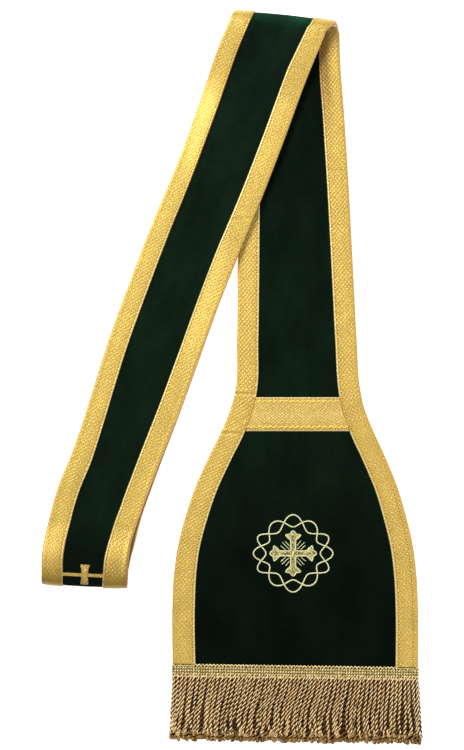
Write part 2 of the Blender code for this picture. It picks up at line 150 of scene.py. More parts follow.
def straight(rows, name, at):
    """Reads a table's column at values of y, along straight lines."""
    return np.interp(at, rows["y"], rows[name])


def distance_in(fold, x, y):
    """Distance of a point from a fold's crest, on the side where the cloth lies."""
    return fold.side * ((y - fold.y) * math.cos(fold.angle) - (x - fold.x) * math.sin(fold.angle))


def slant_height(x, y, lifted):
    """Height of the surface between the halves in the slanting stretch."""
    near_top = ease(1 - (distance_in(TOP_FOLD, x, y) - TOP_FOLD.radius) / TOP_FOLD.rise)
    over = CROSSING_HEIGHT + (REST_HEIGHT + 2 * TOP_FOLD.radius - CROSSING_HEIGHT) * near_top
    leg_edge = column(LEG, "middle", y) - column(LEG, "half", y)
    carried = ease(1 - (leg_edge - DRAPE_START - x) / DRAPE_RUN)
    height = REST_HEIGHT + (over - REST_HEIGHT) * (carried + (1 - carried) * near_top)
    if lifted:
        near_neck = ease(1 - (distance_in(NECK_FOLD, x, y) - NECK_FOLD.radius) / NECK_FOLD.rise)
        height = height + 2 * NECK_FOLD.radius * near_neck
    return height


def slant_row(y):
    """Rows square to the slanting stretch, turned near each end to lie along the fold."""
    inside = np.clip(y, SLANT["y"][0] + 1, SLANT["y"][-1] - 1)
    lean = np.arctan2(column(SLANT, "middle", inside + 1) - column(SLANT, "middle", inside - 1), 2)
    near_top = ease(1 - (SLANT["y"][-1] - y) / ROW_TURN)
    near_neck = ease(1 - (y - SLANT["y"][0]) / ROW_TURN)
    angle = (TOP_FOLD.angle + lean) * near_top + (NECK_FOLD.angle + lean) * near_neck - lean
    half = column(SLANT, "half", y) / np.cos(lean + angle)
    return Row(column(SLANT, "middle", y), y, angle, half, None, 0.0 * y)


def leg_row(y):
    """Rows across the straight stretch, level but for the top fold's slant and the hem's."""
    near_top = ease(1 - (LEG["y"][0] - y) / ROW_TURN)
    near_hem = ease(1 - (y - HEM_Y) / HEM_TURN)
    angle = TOP_FOLD.angle * near_top + HEM_ANGLE * near_hem
    flat = 0.0 * y
    return Row(column(LEG, "middle", y), y, angle, column(LEG, "half", y), REST_HEIGHT + flat, flat)


def fold_row(fold, turn, along, half):
    """Rows on a half round fold, from its top (turn 0) to its bottom (turn 1) and on under it."""
    round_turn = math.pi * np.minimum(turn, 1.0)
    run_on = math.pi * np.maximum(turn - 1.0, 0.0)
    back = fold.side * fold.radius * (1 - np.sin(round_turn) + run_on)
    x = fold.x + along * math.cos(fold.angle) - back * math.sin(fold.angle)
    y = fold.y + along * math.sin(fold.angle) + back * math.cos(fold.angle)
    height = REST_HEIGHT + fold.radius * (1 + np.cos(round_turn))
    return Row(x, y, fold.angle + 0.0 * turn, half, height, fold.side * fold.bow * np.sin(round_turn))


def top_row(turn):
    """Rows round the top fold, from the slanting stretch to the straight one."""
    along = column(TOP_FOLD_ROWS, "along", turn, "turn")
    return fold_row(TOP_FOLD, turn, along, column(TOP_FOLD_ROWS, "half", turn, "turn"))


def neck_row(turn):
    """Rows round the neck fold, from the slanting stretch to the hidden layer."""
    return fold_row(NECK_FOLD, turn, 0.0 * turn, SLANT["half"][0] + 0.0 * turn)


# Each zone of the cloth: its rows, the way travel goes along it from the neck, and its limits
ZONES = {
    "neck": Zone(neck_row, -1, 0.0, 2.0),
    "slant": Zone(slant_row, 1, SLANT["y"][0], SLANT["y"][-1]),
    "top": Zone(top_row, 1, 0.0, 1.0),
    "leg": Zone(leg_row, -1, HEM_Y - 24.0, LEG["y"][0]),
}


def middle_surface(zone, at, across, lifted):
    """Points of the surface between the halves: one row of them for each place in `at`."""
    row = Row(*(None if part is None else part[:, None] for part in ZONES[zone].row(at)))
    bow = row.bow * (1 - (across / row.half) ** 2)
    x = row.x + across * np.cos(row.angle) + bow * np.sin(row.angle)
    y = row.y + across * np.sin(row.angle) - bow * np.cos(row.angle)
    height = slant_height(x, y, lifted) if row.height is None else row.height + 0.0 * x
    return np.stack((x, y, height), axis=-1)


def ends_round(zone, at):
    """Places just before and after these, in the direction of travel."""
    limits = ZONES[zone]
    ends = [np.clip(at + step, limits.first, limits.last) for step in (-PROBE, PROBE)]
    return ends if limits.travel > 0 else ends[::-1]


def unit(vectors):
    """The same vectors, each one long."""
    return vectors / np.linalg.norm(vectors, axis=-1, keepdims=True)


def crease_height(creases, x, y):
    """Soft troughs and ridges, each fading out at both ends."""
    total = 0.0 * x
    for x1, y1, x2, y2, width, height in creases:
        length = math.hypot(x2 - x1, y2 - y1)
        along = ((x - x1) * (x2 - x1) + (y - y1) * (y2 - y1)) / length
        aside = ((y - y1) * (x2 - x1) - (x - x1) * (y2 - y1)) / length
        tip = min(0.35 * length, 3 * width)
        fade = ease(along / tip + 0.5) * ease((length - along) / tip + 0.5)
        total += height * fade * np.exp(-((aside / width) ** 2))
    return total


def by_zone(stations):
    """The places of each zone that the stations visit, with their indexes."""
    for zone in ZONES:
        index = [i for i, (where, _) in enumerate(stations) if where == zone]
        if index:
            yield zone, index, np.array([stations[i][1] for i in index])


def laid(stations, across, depth, side, lifted=False, creases=()):
    """Points at a depth off the middle surface, on the side of the UPPER or the LOWER half."""
    points = np.empty(across.shape + (3,))
    depth = np.broadcast_to(depth, across.shape)
    for zone, index, at in by_zone(stations):
        before, after = ends_round(zone, at)
        places = across[index]
        base = middle_surface(zone, at, places, lifted)
        along = middle_surface(zone, after, places, lifted)
        along = along - middle_surface(zone, before, places, lifted)
        aside = middle_surface(zone, at, places + PROBE, lifted)
        aside = aside - middle_surface(zone, at, places - PROBE, lifted)
        out = depth[index]
        if creases and zone in ("slant", "leg"):
            out = out + crease_height(creases, base[..., 0], base[..., 1])
        points[index] = base + unit(np.cross(aside, along)) * side * out[..., None]
    return points


def runs(zone, first, last, gap):
    """Stations through one zone, about `gap` apart, both ends included."""
    count = max(1, math.ceil(abs(last - first) / gap))
    return [(zone, float(at)) for at in np.linspace(first, last, count + 1)]


def joined(*parts):
    """Stations one after another, each part leaving out the place where the last one ended."""
    stations = list(parts[0])
    for part in parts[1:]:
        stations += part[1:]
    return stations


def upper_half_stations(gap):
    """From under the neck fold to just under the top fold."""
    under_neck = 1 + NECK_FOLD.under / (math.pi * NECK_FOLD.radius)
    return joined(
        runs("neck", under_neck, 0.0, NECK_STEP),
        runs("slant", SLANT["y"][0], SLANT["y"][-1], gap),
        runs("top", 0.0, 1.0, TOP_STEP),
        runs("leg", LEG["y"][0], LEG["y"][0] - TOP_FOLD.under, gap),
    )


def add_cloth(
    name, stations, across, weave, front, back, finishes, side, lifted=False, creases=(),
    moves_back=False, down=None,
):
    """A closed wall of cloth whose front is the first finish and whose back is the second.

    `weave` is each column's distance across the strip. With that and the distance along the
    first column, or `down` if it is given, its UV map follows the cloth. The creases move its
    front, and its back and rims too where `moves_back` is set.
    """
    columns = across.shape[1]
    way = RIM * np.sign(across[:, -1:] - across[:, :1])
    front, back = (np.broadcast_to(depth, across.shape) for depth in (front, back))
    middle = (front + back) / 2
    behind = creases if moves_back else ()
    rings = np.concatenate(
        [
            laid(stations, places, depth, side, lifted, moved)
            for places, depth, moved in (
                (across, front, creases),
                (across[:, -1:] + way, middle[:, -1:], behind),
                (across[:, ::-1], back[:, ::-1], behind),
                (across[:, :1] - way, middle[:, :1], behind),
            )
        ],
        axis=1,
    )
    size, rows = rings.shape[1], len(rings)
    faces, finish_of = [], []
    for row in range(rows - 1):
        for i in range(size):
            near, beside = row * size + i, row * size + (i + 1) % size
            faces.append((near, beside, beside + size, near + size))
            finish_of.append(1 if columns < i < 2 * columns else 0)
    for end in (0, (rows - 1) * size):
        for i in range(columns - 1):
            faces.append([end + k for k in (i, i + 1, 2 * columns - i - 1, 2 * columns - i)])
        faces.append([end + k for k in (columns - 1, columns, columns + 1)])
        faces.append([end + k for k in (0, 2 * columns, 2 * columns + 1)])
        finish_of += [0] * (columns + 1)
    if down is None:
        run = unit(np.gradient(rings[:, 0], axis=0))
        lengths = np.linalg.norm(np.diff(rings[:, 0], axis=0), axis=-1)
        arc = np.concatenate(((0.0,), np.cumsum(lengths)))
        down = arc[:, None] + ((rings - rings[:, :1]) * run[:, None]).sum(-1)[:, :columns]
    weave_map = [
        np.concatenate((part, part[:, -1:], part[:, ::-1], part[:, :1]), axis=1)
        for part in (np.broadcast_to(weave, across.shape), down)
    ]
    return add_mesh(name, rings.reshape(-1, 3), faces, finishes, finish_of, weave_map)


def corners_of(mesh):
    """The vertex at each corner of each face."""
    corners = np.empty(len(mesh.loops), np.int32)
    mesh.loops.foreach_get("vertex_index", corners)
    return corners


def add_mesh(name, points, faces, finishes, finish_of=(), weave=None):
    """Makes an object in metres about the origin, with its faces turned outwards."""
    mesh = bpy.data.meshes.new(name)
    mesh.from_pydata(((np.asarray(points) - ORIGIN) * MM).tolist(), [], faces)
    if len(finish_of):
        mesh.polygons.foreach_set("material_index", finish_of)
    if weave is not None:
        corners = corners_of(mesh)
        over, down = (np.asarray(part, float).reshape(-1)[corners] * MM for part in weave)
        mesh.uv_layers.new(name="weave").data.foreach_set("uv", np.stack((over, down), -1).ravel())
    shell = bmesh.new()
    shell.from_mesh(mesh)
    bmesh.ops.recalc_face_normals(shell, faces=shell.faces)
    shell.to_mesh(mesh)
    shell.free()
    mesh.shade_smooth()
    for finish in finishes:
        mesh.materials.append(finish)
    made = bpy.data.objects.new(name, mesh)
    bpy.context.scene.collection.objects.link(made)
    return made


def linear(code):
    """An sRGB hex colour as linear RGBA."""
    parts = [int(code[i : i + 2], 16) / 255 for i in (1, 3, 5)]
    return [p / 12.92 if p <= 0.04045 else ((p + 0.055) / 1.055) ** 2.4 for p in parts] + [1.0]


def add_node(tree, kind, inputs=(), out=0, **settings):
    """Adds a node with its settings, values and links, and returns one of its outputs, if any."""
    made = tree.nodes.new(kind)
    for setting, value in settings.items():
        setattr(made, setting, value)
    for socket, value in dict(inputs).items():
        if isinstance(value, bpy.types.NodeSocket):
            tree.links.new(value, made.inputs[socket])
        else:
            made.inputs[socket].default_value = value
    return made.outputs[out] if made.outputs else made


def new_finish(name):
    """An empty node material and its tree, which close_finish ends."""
    finish = bpy.data.materials.new(name)
    finish.use_nodes = True
    finish.node_tree.nodes.clear()
    return finish, finish.node_tree


def close_finish(tree, inputs):
    """Ends a material with a shader that has these inputs."""
    shader = add_node(tree, "ShaderNodeBsdfPrincipled", inputs)
    add_node(tree, "ShaderNodeOutputMaterial", {"Surface": shader})


def velvet_finish(name, pile_shades):
    """Silk velvet: short upright pile that drinks the light, so it reads nearly black.

    Its nap runs along the strip, and its colour down the strip is painted light: painted sheen
    where the cloth turns up to the light, painted shade where it turns away. `pile_shades`
    holds the distance of each row down the strip, in metres, and the colour there.
    """
    finish, tree = new_finish(name)
    place = add_node(tree, "ShaderNodeUVMap", uv_map="weave")
    rows = add_node(tree, "ShaderNodeUVMap", uv_map="rows")
    beside, along = (add_node(tree, "ShaderNodeSeparateXYZ", {0: rows}, axis) for axis in (0, 1))
    part = add_node(tree, "ShaderNodeMath", {0: along, 1: pile_shades[-1][0]}, operation="DIVIDE")
    ramp = add_node(tree, "ShaderNodeValToRGB", {0: part})
    stops = ramp.node.color_ramp.elements
    stops.remove(stops[1])
    for index, (distance, code) in enumerate(pile_shades):
        stop = stops.new(distance / pile_shades[-1][0]) if index else stops[0]
        stop.position, stop.color = distance / pile_shades[-1][0], linear(code)
    # Brushed clouds are 30 to 60 mm long, drawn out along the strip
    long_way = add_node(tree, "ShaderNodeMapping", {"Vector": place, "Scale": (34.0, 15.0, 1.0)})
    clouds = add_node(tree, "ShaderNodeTexNoise", {"Vector": long_way, "Scale": 1.0, "Detail": 3.0})
    # Finger marks in the pile, 5 to 10 mm
    marks = add_node(tree, "ShaderNodeTexNoise", {"Vector": place, "Scale": 150.0, "Detail": 2.0})
    # Pile tufts are 0.2 mm apart, too fine to show, so they are drawn 1 mm apart
    tufts = add_node(tree, "ShaderNodeTexNoise", {"Vector": place, "Scale": 950.0, "Detail": 1.0})
    lift = add_node(tree, "ShaderNodeMapRange", {0: clouds, 1: 0.3, 2: 0.7, 3: 0.64, 4: 1.36})
    for amount, low, high in ((marks, 0.88, 1.12), (tufts, 0.82, 1.18)):
        here = add_node(tree, "ShaderNodeMapRange", {0: amount, 1: 0.3, 2: 0.7, 3: low, 4: high})
        lift = add_node(tree, "ShaderNodeMath", {0: lift, 1: here}, operation="MULTIPLY")
    pile = add_node(tree, "ShaderNodeVectorMath", {0: ramp, "Scale": lift}, operation="SCALE")
    # Painted shadow: the pile is darkened beside the border on the side of the light, where the
    # galloon's shadow falls
    beside = add_node(
        tree, "ShaderNodeMapRange", {0: beside, 1: 1 - 1.9 * MM, 2: 1 - 0.6 * MM, 3: 1.0, 4: 0.2}
    )
    pile = add_node(tree, "ShaderNodeVectorMath", {0: pile, "Scale": beside}, operation="SCALE")
    tuft_bump = add_node(
        tree, "ShaderNodeBump", {"Strength": 0.35, "Distance": 0.0003, "Height": tufts}
    )
    close_finish(
        tree,
        {
            "Base Color": pile, "Roughness": 0.95, "Specular IOR Level": 0.05,
            "Normal": tuft_bump, "Sheen Weight": 0.05, "Sheen Roughness": 0.45,
            "Sheen Tint": linear("#6E9C70"),
        },
    )
    return finish


# Painted sheen and shade down the upper half's pile: darkest under the neck fold, palest at the top
# fold's crest
velvet = velvet_finish(
    "silk_velvet_dark_green",
    ((0.0, "#040C06"), (0.055, "#050E07"), (0.085, "#09180D"), (0.25, "#0A1A0E"),
     (0.46, "#0A190F"), (0.505, "#0A180F"), (0.526, "#0B1B11"), (0.534, "#0B1F13"),
     (0.541, "#12331E"), (0.546, "#143A23"), (0.553, "#1C4A2D")),
)


def flecked_finish(name, deep, pale, scale, surface, detail=2.0, woven=False, between=None):
    """A finish flecked in two tones, along its weave if it is `woven`.

    A scale is how many flecks lie in a metre, so 500 draws them 2 mm apart. `between` holds the
    two strengths of a fleck that read as wholly deep and wholly pale, where they are close.
    """
    finish, tree = new_finish(name)
    if woven:
        place = add_node(tree, "ShaderNodeUVMap", uv_map="weave")
    else:
        place = add_node(tree, "ShaderNodeTexCoord", out="Object")
    flecks = add_node(tree, "ShaderNodeTexNoise", {"Vector": place, "Scale": scale, "Detail": detail})
    if between:
        flecks = add_node(tree, "ShaderNodeMapRange", {0: flecks, 1: between[0], 2: between[1]})
    colour = add_node(
        tree, "ShaderNodeMix", {0: flecks, 6: linear(deep), 7: linear(pale)}, 2, data_type="RGBA"
    )
    close_finish(tree, {"Base Color": colour, **surface})
    return finish


# Lining satin: brown viscose, seen only at the layered edges and from between the halves. Its
# threads are 0.1 mm apart, drawn 1.2 mm apart so that they show.
lining = flecked_finish(
    "viscose_satin_brown_lining", "#6E4E1E", "#A07C3C", 800.0,
    {"Roughness": 0.55, "Specular IOR Level": 0.3}, woven=True,
)


def add_velvet(name, stations, columns, inset, side, out=None, finish=velvet, **surface):
    """A velvet strip between the borders' outer edges; `out` puts its right edge further out."""
    edges = np.empty((len(stations), 2))
    for zone, index, at in by_zone(stations):
        half = ZONES[zone].row(at).half
        edges[index, 0] = inset - half
        edges[index, 1] = half - inset + (0.0 if out is None else out(zone, at))
    across = edges[:, :1] + (edges[:, 1:] - edges[:, :1]) * np.linspace(0, 1, columns)
    front = np.full(columns, VELVET_DEPTH)
    front[[0, -1]] -= EDGE_PRESSED
    cloth = add_cloth(
        name, stations, across, across, front, LINING_DEPTH, (finish, lining), side, **surface
    )
    # A second UV map holds each row's distance down the strip
    size = len(cloth.data.vertices) // len(stations)
    spine = np.array([cloth.data.vertices[k * size + columns // 2].co for k in range(len(stations))])
    arc = np.cumsum(np.linalg.norm(np.diff(spine, axis=0, prepend=spine[:1]), axis=-1))
    row_of = corners_of(cloth.data) // size
    rows = np.stack((0 * arc, arc), axis=-1)[row_of]
    cloth.data.uv_layers.new(name="rows").data.foreach_set("uv", rows.ravel())
    return cloth


# Near the neck the strip's right edge is drawn in a little
DRAWN_IN = table(
    "y out", (-172.6, -0.6), (-157.0, -0.8), (-141.0, -2.2), (-124.0, -1.4), (-107.0, 0.0)
)


def slant_out(zone, at):
    """How far the upper half's right edge lies outside its plain place."""
    return straight(DRAWN_IN, "out", at) if zone == "slant" else (-0.6 if zone == "neck" else 0.0)


slant_rows = upper_half_stations(VELVET_GAP)
slant_velvet = add_velvet(
    "slant_velvet_cloth", slant_rows, columns=29, inset=VELVET_INSET, side=UPPER, out=slant_out,
    lifted=True, creases=SLANT_CREASES,
)
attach(slant_velvet, "root")
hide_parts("slant_velvet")

# ---------------------------------------------------------- velvet of the lower half
# The same velvet. Its stretch turns down inside the top fold, runs straight, and opens out
# into the spade end, cut to one pattern with the strip.

# Its soft creases and tucks: two ends, half width, height
LEG_CREASES = (
    (60, 250, 84, 168, 8.0, 0.35), (30, 60, 52, -6, 9.0, -0.35), (74, 110, 62, 20, 10.0, 0.40),
    (100, 60, 92, -30, 7.0, -0.30), (-14, -110, 40, -84, 12.0, 0.40),
    (96, -76, 130, -168, 12.0, 0.45), (2, -190, 70, -214, 12.0, 0.35),
    (84, -212, 138, -196, 9.0, -0.35), (3.0, -15.7, 20.5, -15.9, 0.9, -0.55),
    (3.0, -13.6, 20.5, -13.8, 1.5, 0.25), (-8.2, -49.5, 8.0, -49.8, 0.9, -0.55),
    (-8.0, -47.4, 8.0, -47.6, 1.5, 0.22), (82.4, 175.9, 100.2, 175.2, 0.9, -0.35),
    (86, 40, 106, 52, 4.0, 0.25), (-38, -128, -20, -140, 5.0, 0.25),
    (-52, -206, -33, -198, 6.0, -0.25), (140, -150, 158, -160, 5.0, 0.28),
    (143, -222, 160, -214, 6.0, -0.25),
)


def lower_half_stations(gap):
    """From the top fold's crest down to the hem."""
    return joined(runs("top", 0.0, 1.0, TOP_STEP), runs("leg", LEG["y"][0], HEM_Y, gap))


# The nap runs down the spade, away from the light, so this half's pile is painted in deeper shade
leg_pile = velvet_finish(
    "silk_velvet_dark_green_nap_down_painted_shade",
    ((0.0, "#040C06"), (0.12, "#06120A"), (0.24, "#08170C"), (0.36, "#08170C"), (0.44, "#061108"),
     (0.50, "#040D06"), (0.58, "#040C05")),
)
leg_rows = lower_half_stations(VELVET_GAP)
leg_velvet = add_velvet(
    "leg_velvet_cloth", leg_rows, columns=49, inset=VELVET_INSET, side=LOWER, finish=leg_pile,
    creases=LEG_CREASES,
)
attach(leg_velvet, "root")
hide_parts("leg_velvet")

# ---------------------------------------------------------- the hidden stretches
# Each half goes on below the other with its velvet to the table: the lower half under the
# slanting stretch, the upper half under the straight one. They are the same cut.

# How far inside the visible edges they lie, and how far the right edge shows beyond them
HIDDEN_INSET = 1.2
PEEP = table(
    "y out", (-172.6, -1.6), (-160.0, -0.2), (-140.0, 0.7), (-100.0, 1.3), (-60.0, 0.8),
    (20.0, 0.2), (65.0, -0.3), (110.0, -1.0), (299.0, -1.6),
)
UNDER_CREASES = (
    (-120, -150, -80, -20, 9.0, -0.30), (-60, 20, -10, 150, 8.0, -0.30),
    (40, 200, 66, 60, 9.0, -0.30), (0, -120, 90, -90, 11.0, -0.30),
    (70, -150, 20, -215, 10.0, -0.30),
)
# They stop just short of the folds, and run on past the hem
FOLD_GAP, PAST_HEM = 0.3, 12.3


def under_slant_stations(gap):
    """Under the slanting stretch, from the neck fold's end to the top fold."""
    first = SLANT["y"][0] + NECK_FOLD.under + FOLD_GAP
    return runs("slant", first, SLANT["y"][-1] - FOLD_GAP, gap)


def under_leg_stations(gap):
    """Under the straight stretch, from the top fold's end past the hem to the hidden fringe."""
    return runs("leg", LEG["y"][0] - TOP_FOLD.under, HEM_Y - PAST_HEM, gap)


def peep(zone, at):
    """How far the hidden layer's right edge shows beyond the slanting stretch."""
    return straight(PEEP, "out", at)


under_slant_velvet = add_velvet(
    "under_slant_velvet", under_slant_stations(VELVET_GAP), columns=25,
    inset=HIDDEN_INSET + VELVET_INSET, side=LOWER,
    out=lambda zone, at: HIDDEN_INSET + peep(zone, at), creases=UNDER_CREASES,
)
under_leg_velvet = add_velvet(
    "under_leg_velvet", under_leg_stations(VELVET_GAP), columns=41,
    inset=HIDDEN_INSET + VELVET_INSET, side=UPPER, creases=UNDER_CREASES,
)
for hidden, node in ((under_slant_velvet, "hidden_slant"), (under_leg_velvet, "hidden_leg")):
    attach(hidden, "root")
    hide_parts(node)

# ---------------------------------------------------------- galloon borders
# Woven metal-thread galloon, 18 mm wide, machine-sewn round the velvet's edge with its outer
# side turned over it. Cream selvage shows along its inner side.
BORDER_WIDTH = 18.0
# The side of a stretch that a border runs along
LEFT, RIGHT = -1, 1
# Depths from the surface between the halves: the braid's own, the galloon's face, its back on
# the velvet, and its back where it is turned over the velvet's edge
BRAID_DEPTH = 3.05
FACE_DEPTH = BRAID_DEPTH - 0.1
BACK_DEPTH = VELVET_DEPTH - 0.15
TURNED_DEPTH = 0.2
# Across the galloon: distance from its outer edge, and its face's rise over the plain depth
GALLOON = table(
    "over rise",
    (0.0, -0.60), (0.45, -0.18), (1.1, -0.02), (2.4, 0.04), (3.7, 0.02), (4.3, 0.0),
    (4.9, 0.03), (7.0, 0.08), (9.5, 0.10), (12.0, 0.07), (14.4, 0.02), (15.5, 0.0),
    (16.1, -0.14), (16.7, 0.0), (17.2, 0.03), (17.6, -0.02), (18.0, -0.40),
)
# How much wider than 18 mm each border has pulled out along its way, in millimetres. The rows
# past a stretch's end lie round the top fold.
FOLD_LENGTH = 22.0
SLANT_LEFT_EXTRA = table(
    "y extra", (-81.0, 0.0), (-55.0, -0.6), (-21.0, -1.2), (65.0, -1.4), (200.0, -1.8), (321.0, -1.8)
)
SLANT_RIGHT_EXTRA = table(
    "y extra", (-172.6, 2.8), (-157.0, 2.6), (-141.0, 0.6), (-124.0, 0.4), (-107.0, 0.0),
    (268.0, 0.0), (285.0, -1.2), (299.0, -2.4), (299.3, -4.9), (301.5, -6.0), (304.5, -5.0),
    (321.0, -4.6),
)
LEG_LEFT_EXTRA = table("y extra", (-249.0, 1.2), (-180.0, 1.0), (-150.0, 0.3), (0.0, 0.0))
LEG_RIGHT_EXTRA = table(
    "y extra", (-249.0, 0.9), (-60.0, 0.6), (0.0, 0.0), (298.1, 0.0), (306.0, 6.0), (321.0, 9.0)
)
# Gold tones beside the galloon's own: the deep one is painted shade, the light one painted highlight,
# and the dull one painted sheen and the narrow braid's edges
GOLD_PAINTED_SHADE, GOLD, GOLD_PAINTED_HIGHLIGHT = "#906C1C", "#C8A33C", "#F4DC82"
GOLD_ROSE, GOLD_DULL = "#CE9E56", "#AE8E40"
SELVAGE, TURNED_EDGE = "#EAD897", "#C89E6C"
# A tone that comes in over this way across, which lies outside the strip, covers all of it
EVERYWHERE = (-2.0, -1.0)


def galloon_finish(
    name, width, edges, tint=GOLD, lattice=(2.6, 1.0), grain=1050.0, shaded=(), spark=1.0
):
    """Lattice-woven gold: two sets of metal threads that cross, with selvages at the edges.

    Its small bright glints and dark flecks are painted highlight and painted shade, rosy tones lie
    where the copper shows, and a painted sheen lies along the strip's middle; the gaps between
    the threads are painted in shade.
    `edges` holds the colour of each side of the strip and how wide it shows, in millimetres, and
    `lattice` how far apart its threads cross, in millimetres, and how deep they lie. `grain` is
    how many glints lie in a metre, and `spark` how strong they are.
    Each of `shaded` is a painted shade: a colour, its most, the way along over which it fades
    out, and the way across over which it comes in; it lies deepest between the threads.
    """
    finish, tree = new_finish(name)
    place = add_node(tree, "ShaderNodeUVMap", uv_map="weave")
    over, along = (add_node(tree, "ShaderNodeSeparateXYZ", {0: place}, axis) for axis in (0, 1))
    lines = []
    # A wave's bands are 0.314 / scale apart. Threads are 0.4 mm, drawn as wide as they show.
    for turn in (40, -40):
        turned = add_node(
            tree, "ShaderNodeMapping", {"Vector": place, "Rotation": (0, 0, math.radians(turn))}
        )
        wave = {"Vector": turned, "Scale": 0.31416 / (lattice[0] * MM), "Distortion": 1.4,
                "Detail": 1.5, "Detail Scale": 1.3}
        wave = add_node(tree, "ShaderNodeTexWave", wave, 1)
        lines.append(add_node(tree, "ShaderNodeMapRange", {0: wave, 1: 0.42, 2: 0.0}))
    # Where either set of threads parts, in the pit, the gold is painted in shade and the bump sinks
    pit = add_node(tree, "ShaderNodeMath", {0: lines[0], 1: lines[1]}, operation="MAXIMUM")
    pit = add_node(tree, "ShaderNodeMath", {0: pit, 1: lattice[1]}, operation="MULTIPLY")
    # Painted glints are thread floats of 1 to 2 mm, rosy tones lie where the copper shows, and
    # broad bands of painted sheen are 15 to 40 mm long
    glint, rosy, bands = (
        add_node(tree, "ShaderNodeTexNoise", {"Vector": place, "Scale": scale, "Detail": detail})
        for scale, detail in ((grain, 1.0), (210.0, 2.5), (46.0, 2.5))
    )
    half = width / 2 * MM
    from_middle = add_node(tree, "ShaderNodeMath", {0: over, 1: half}, operation="SUBTRACT")
    from_middle = add_node(tree, "ShaderNodeMath", {0: from_middle}, operation="ABSOLUTE")
    # Each tone: what draws it, where that starts and is full, its most, and its colour
    tones = [
        # The middle's light, the sheen bands, the pits and the glints are painted sheen, shade and
        # highlight; the tint, the rosy tone and the edges are the galloon's own colours
        (over, *EVERYWHERE, 1.0, tint),
        (from_middle, half, 0.0, 0.25, GOLD_PAINTED_HIGHLIGHT),
        (bands, 0.44, 0.74, 0.45, GOLD_DULL),
        (rosy, 0.50, 0.70, 0.55, GOLD_ROSE),
        (pit, 0.0, 1.0, 0.30 * spark, GOLD_PAINTED_SHADE),
        (glint, 0.52, 0.70, 0.90 * spark, GOLD_PAINTED_HIGHLIGHT),
        (glint, 0.475, 0.31, 0.60 * spark, GOLD_PAINTED_SHADE),
    ]
    for (code, shown), edge, way in zip(edges, (0.0, width), (1, -1)):
        inside, outside = (edge + way * (shown + blur) for blur in (0.2, -0.2))
        tones.append((over, inside * MM, outside * MM, 0.9, code))
    colour = add_node(tree, "ShaderNodeRGB").node.outputs[0]
    for value, start, full, most, code in tones:
        share = add_node(tree, "ShaderNodeMapRange", {0: value, 1: start, 2: full, 4: most})
        colour = add_node(
            tree, "ShaderNodeMix", {0: share, 6: colour, 7: linear(code)}, 2, data_type="RGBA"
        )
    # Painted shades, deepest in the pits between the threads
    for code, most, (near, far), (outer, inner) in shaded:
        share = add_node(tree, "ShaderNodeMapRange", {0: pit, 3: 0.55 * most, 4: most})
        for value, start, full in ((along, far, near), (over, outer, inner)):
            part = add_node(tree, "ShaderNodeMapRange", {0: value, 1: start * MM, 2: full * MM})
            share = add_node(tree, "ShaderNodeMath", {0: share, 1: part}, operation="MULTIPLY")
        colour = add_node(
            tree, "ShaderNodeMix", {0: share, 6: colour, 7: linear(code)}, 2, data_type="RGBA"
        )
    relief = add_node(tree, "ShaderNodeMath", {0: glint, 1: pit}, operation="SUBTRACT")
    bump = add_node(tree, "ShaderNodeBump", {"Strength": 0.5, "Distance": 0.0004, "Height": relief})
    close_finish(
        tree, {"Base Color": colour, "Metallic": 0.45, "Roughness": 0.42, "Normal": bump}
    )
    return finish


BORDER_EDGES = ((TURNED_EDGE, 0.55), (SELVAGE, 0.85))
galloon = galloon_finish("metal_thread_galloon", BORDER_WIDTH, BORDER_EDGES)
# The same galloon where it lies over the neck fold: painted shade where the cloth curves down
# into the fold, and a second, lighter painted shade that dims its sheen further up
NECK_SHADES = (
    ("#5A4000", 0.82, (44.0, 58.0), EVERYWHERE), ("#8A6A20", 0.62, (67.0, 80.0), EVERYWHERE)
)
# Its left length, whose inner selvage is painted in brown shade towards the top fold
SELVAGE_SHADE = ("#9C7024", 1.6, (400.0, 300.0), (17.1, 17.5))
neck_galloon, selvage_shade_galloon = (
    galloon_finish(
        name, BORDER_WIDTH, BORDER_EDGES, "#C9A538", (2.6, 0.4), shaded=shades, spark=1.05
    )
    for name, shades in (
        ("metal_thread_galloon_painted_neck_shade", NECK_SHADES),
        ("metal_thread_galloon_painted_selvage_shade", (*NECK_SHADES, SELVAGE_SHADE)),
    )
)
# The same galloon where it turns inside the top fold, browned by the shade of the fold
FOLD_SHADES = (
    ("#70430A", 1.0, (55.0, 115.0), (6.0, 12.0)), ("#6E4A1E", 0.5, (20.0, 36.0), EVERYWHERE)
)
fold_galloon = galloon_finish(
    "metal_thread_galloon_shaded", BORDER_WIDTH, BORDER_EDGES, GOLD, (2.6, 0.65), 1000.0,
    FOLD_SHADES, 0.72,
)

# The galloon's back: the same weave without its gilding, brown cotton and dull metal
galloon_back = flecked_finish(
    "galloon_back_brown_cotton", "#A67E36", "#E4C274", 700.0,
    {"Roughness": 0.6, "Specular IOR Level": 0.3}, woven=True,
)


def border_span(zone, at):
    """Half of each row's length, and the borders' widths as measured along the row."""
    row = ZONES[zone].row(at)
    before, after = ends_round(zone, at)
    widths = []
    for side in (LEFT, RIGHT):
        start = middle_surface(zone, before, side * ZONES[zone].row(before).half[:, None], False)
        end = middle_surface(zone, after, side * ZONES[zone].row(after).half[:, None], False)
        aside = np.stack((np.cos(row.angle), np.sin(row.angle), 0 * row.angle), axis=-1)
        square = np.linalg.norm(np.cross(unit(end - start)[:, 0], aside), axis=-1)
        widths.append(BORDER_WIDTH / square)
    return row.half, *widths


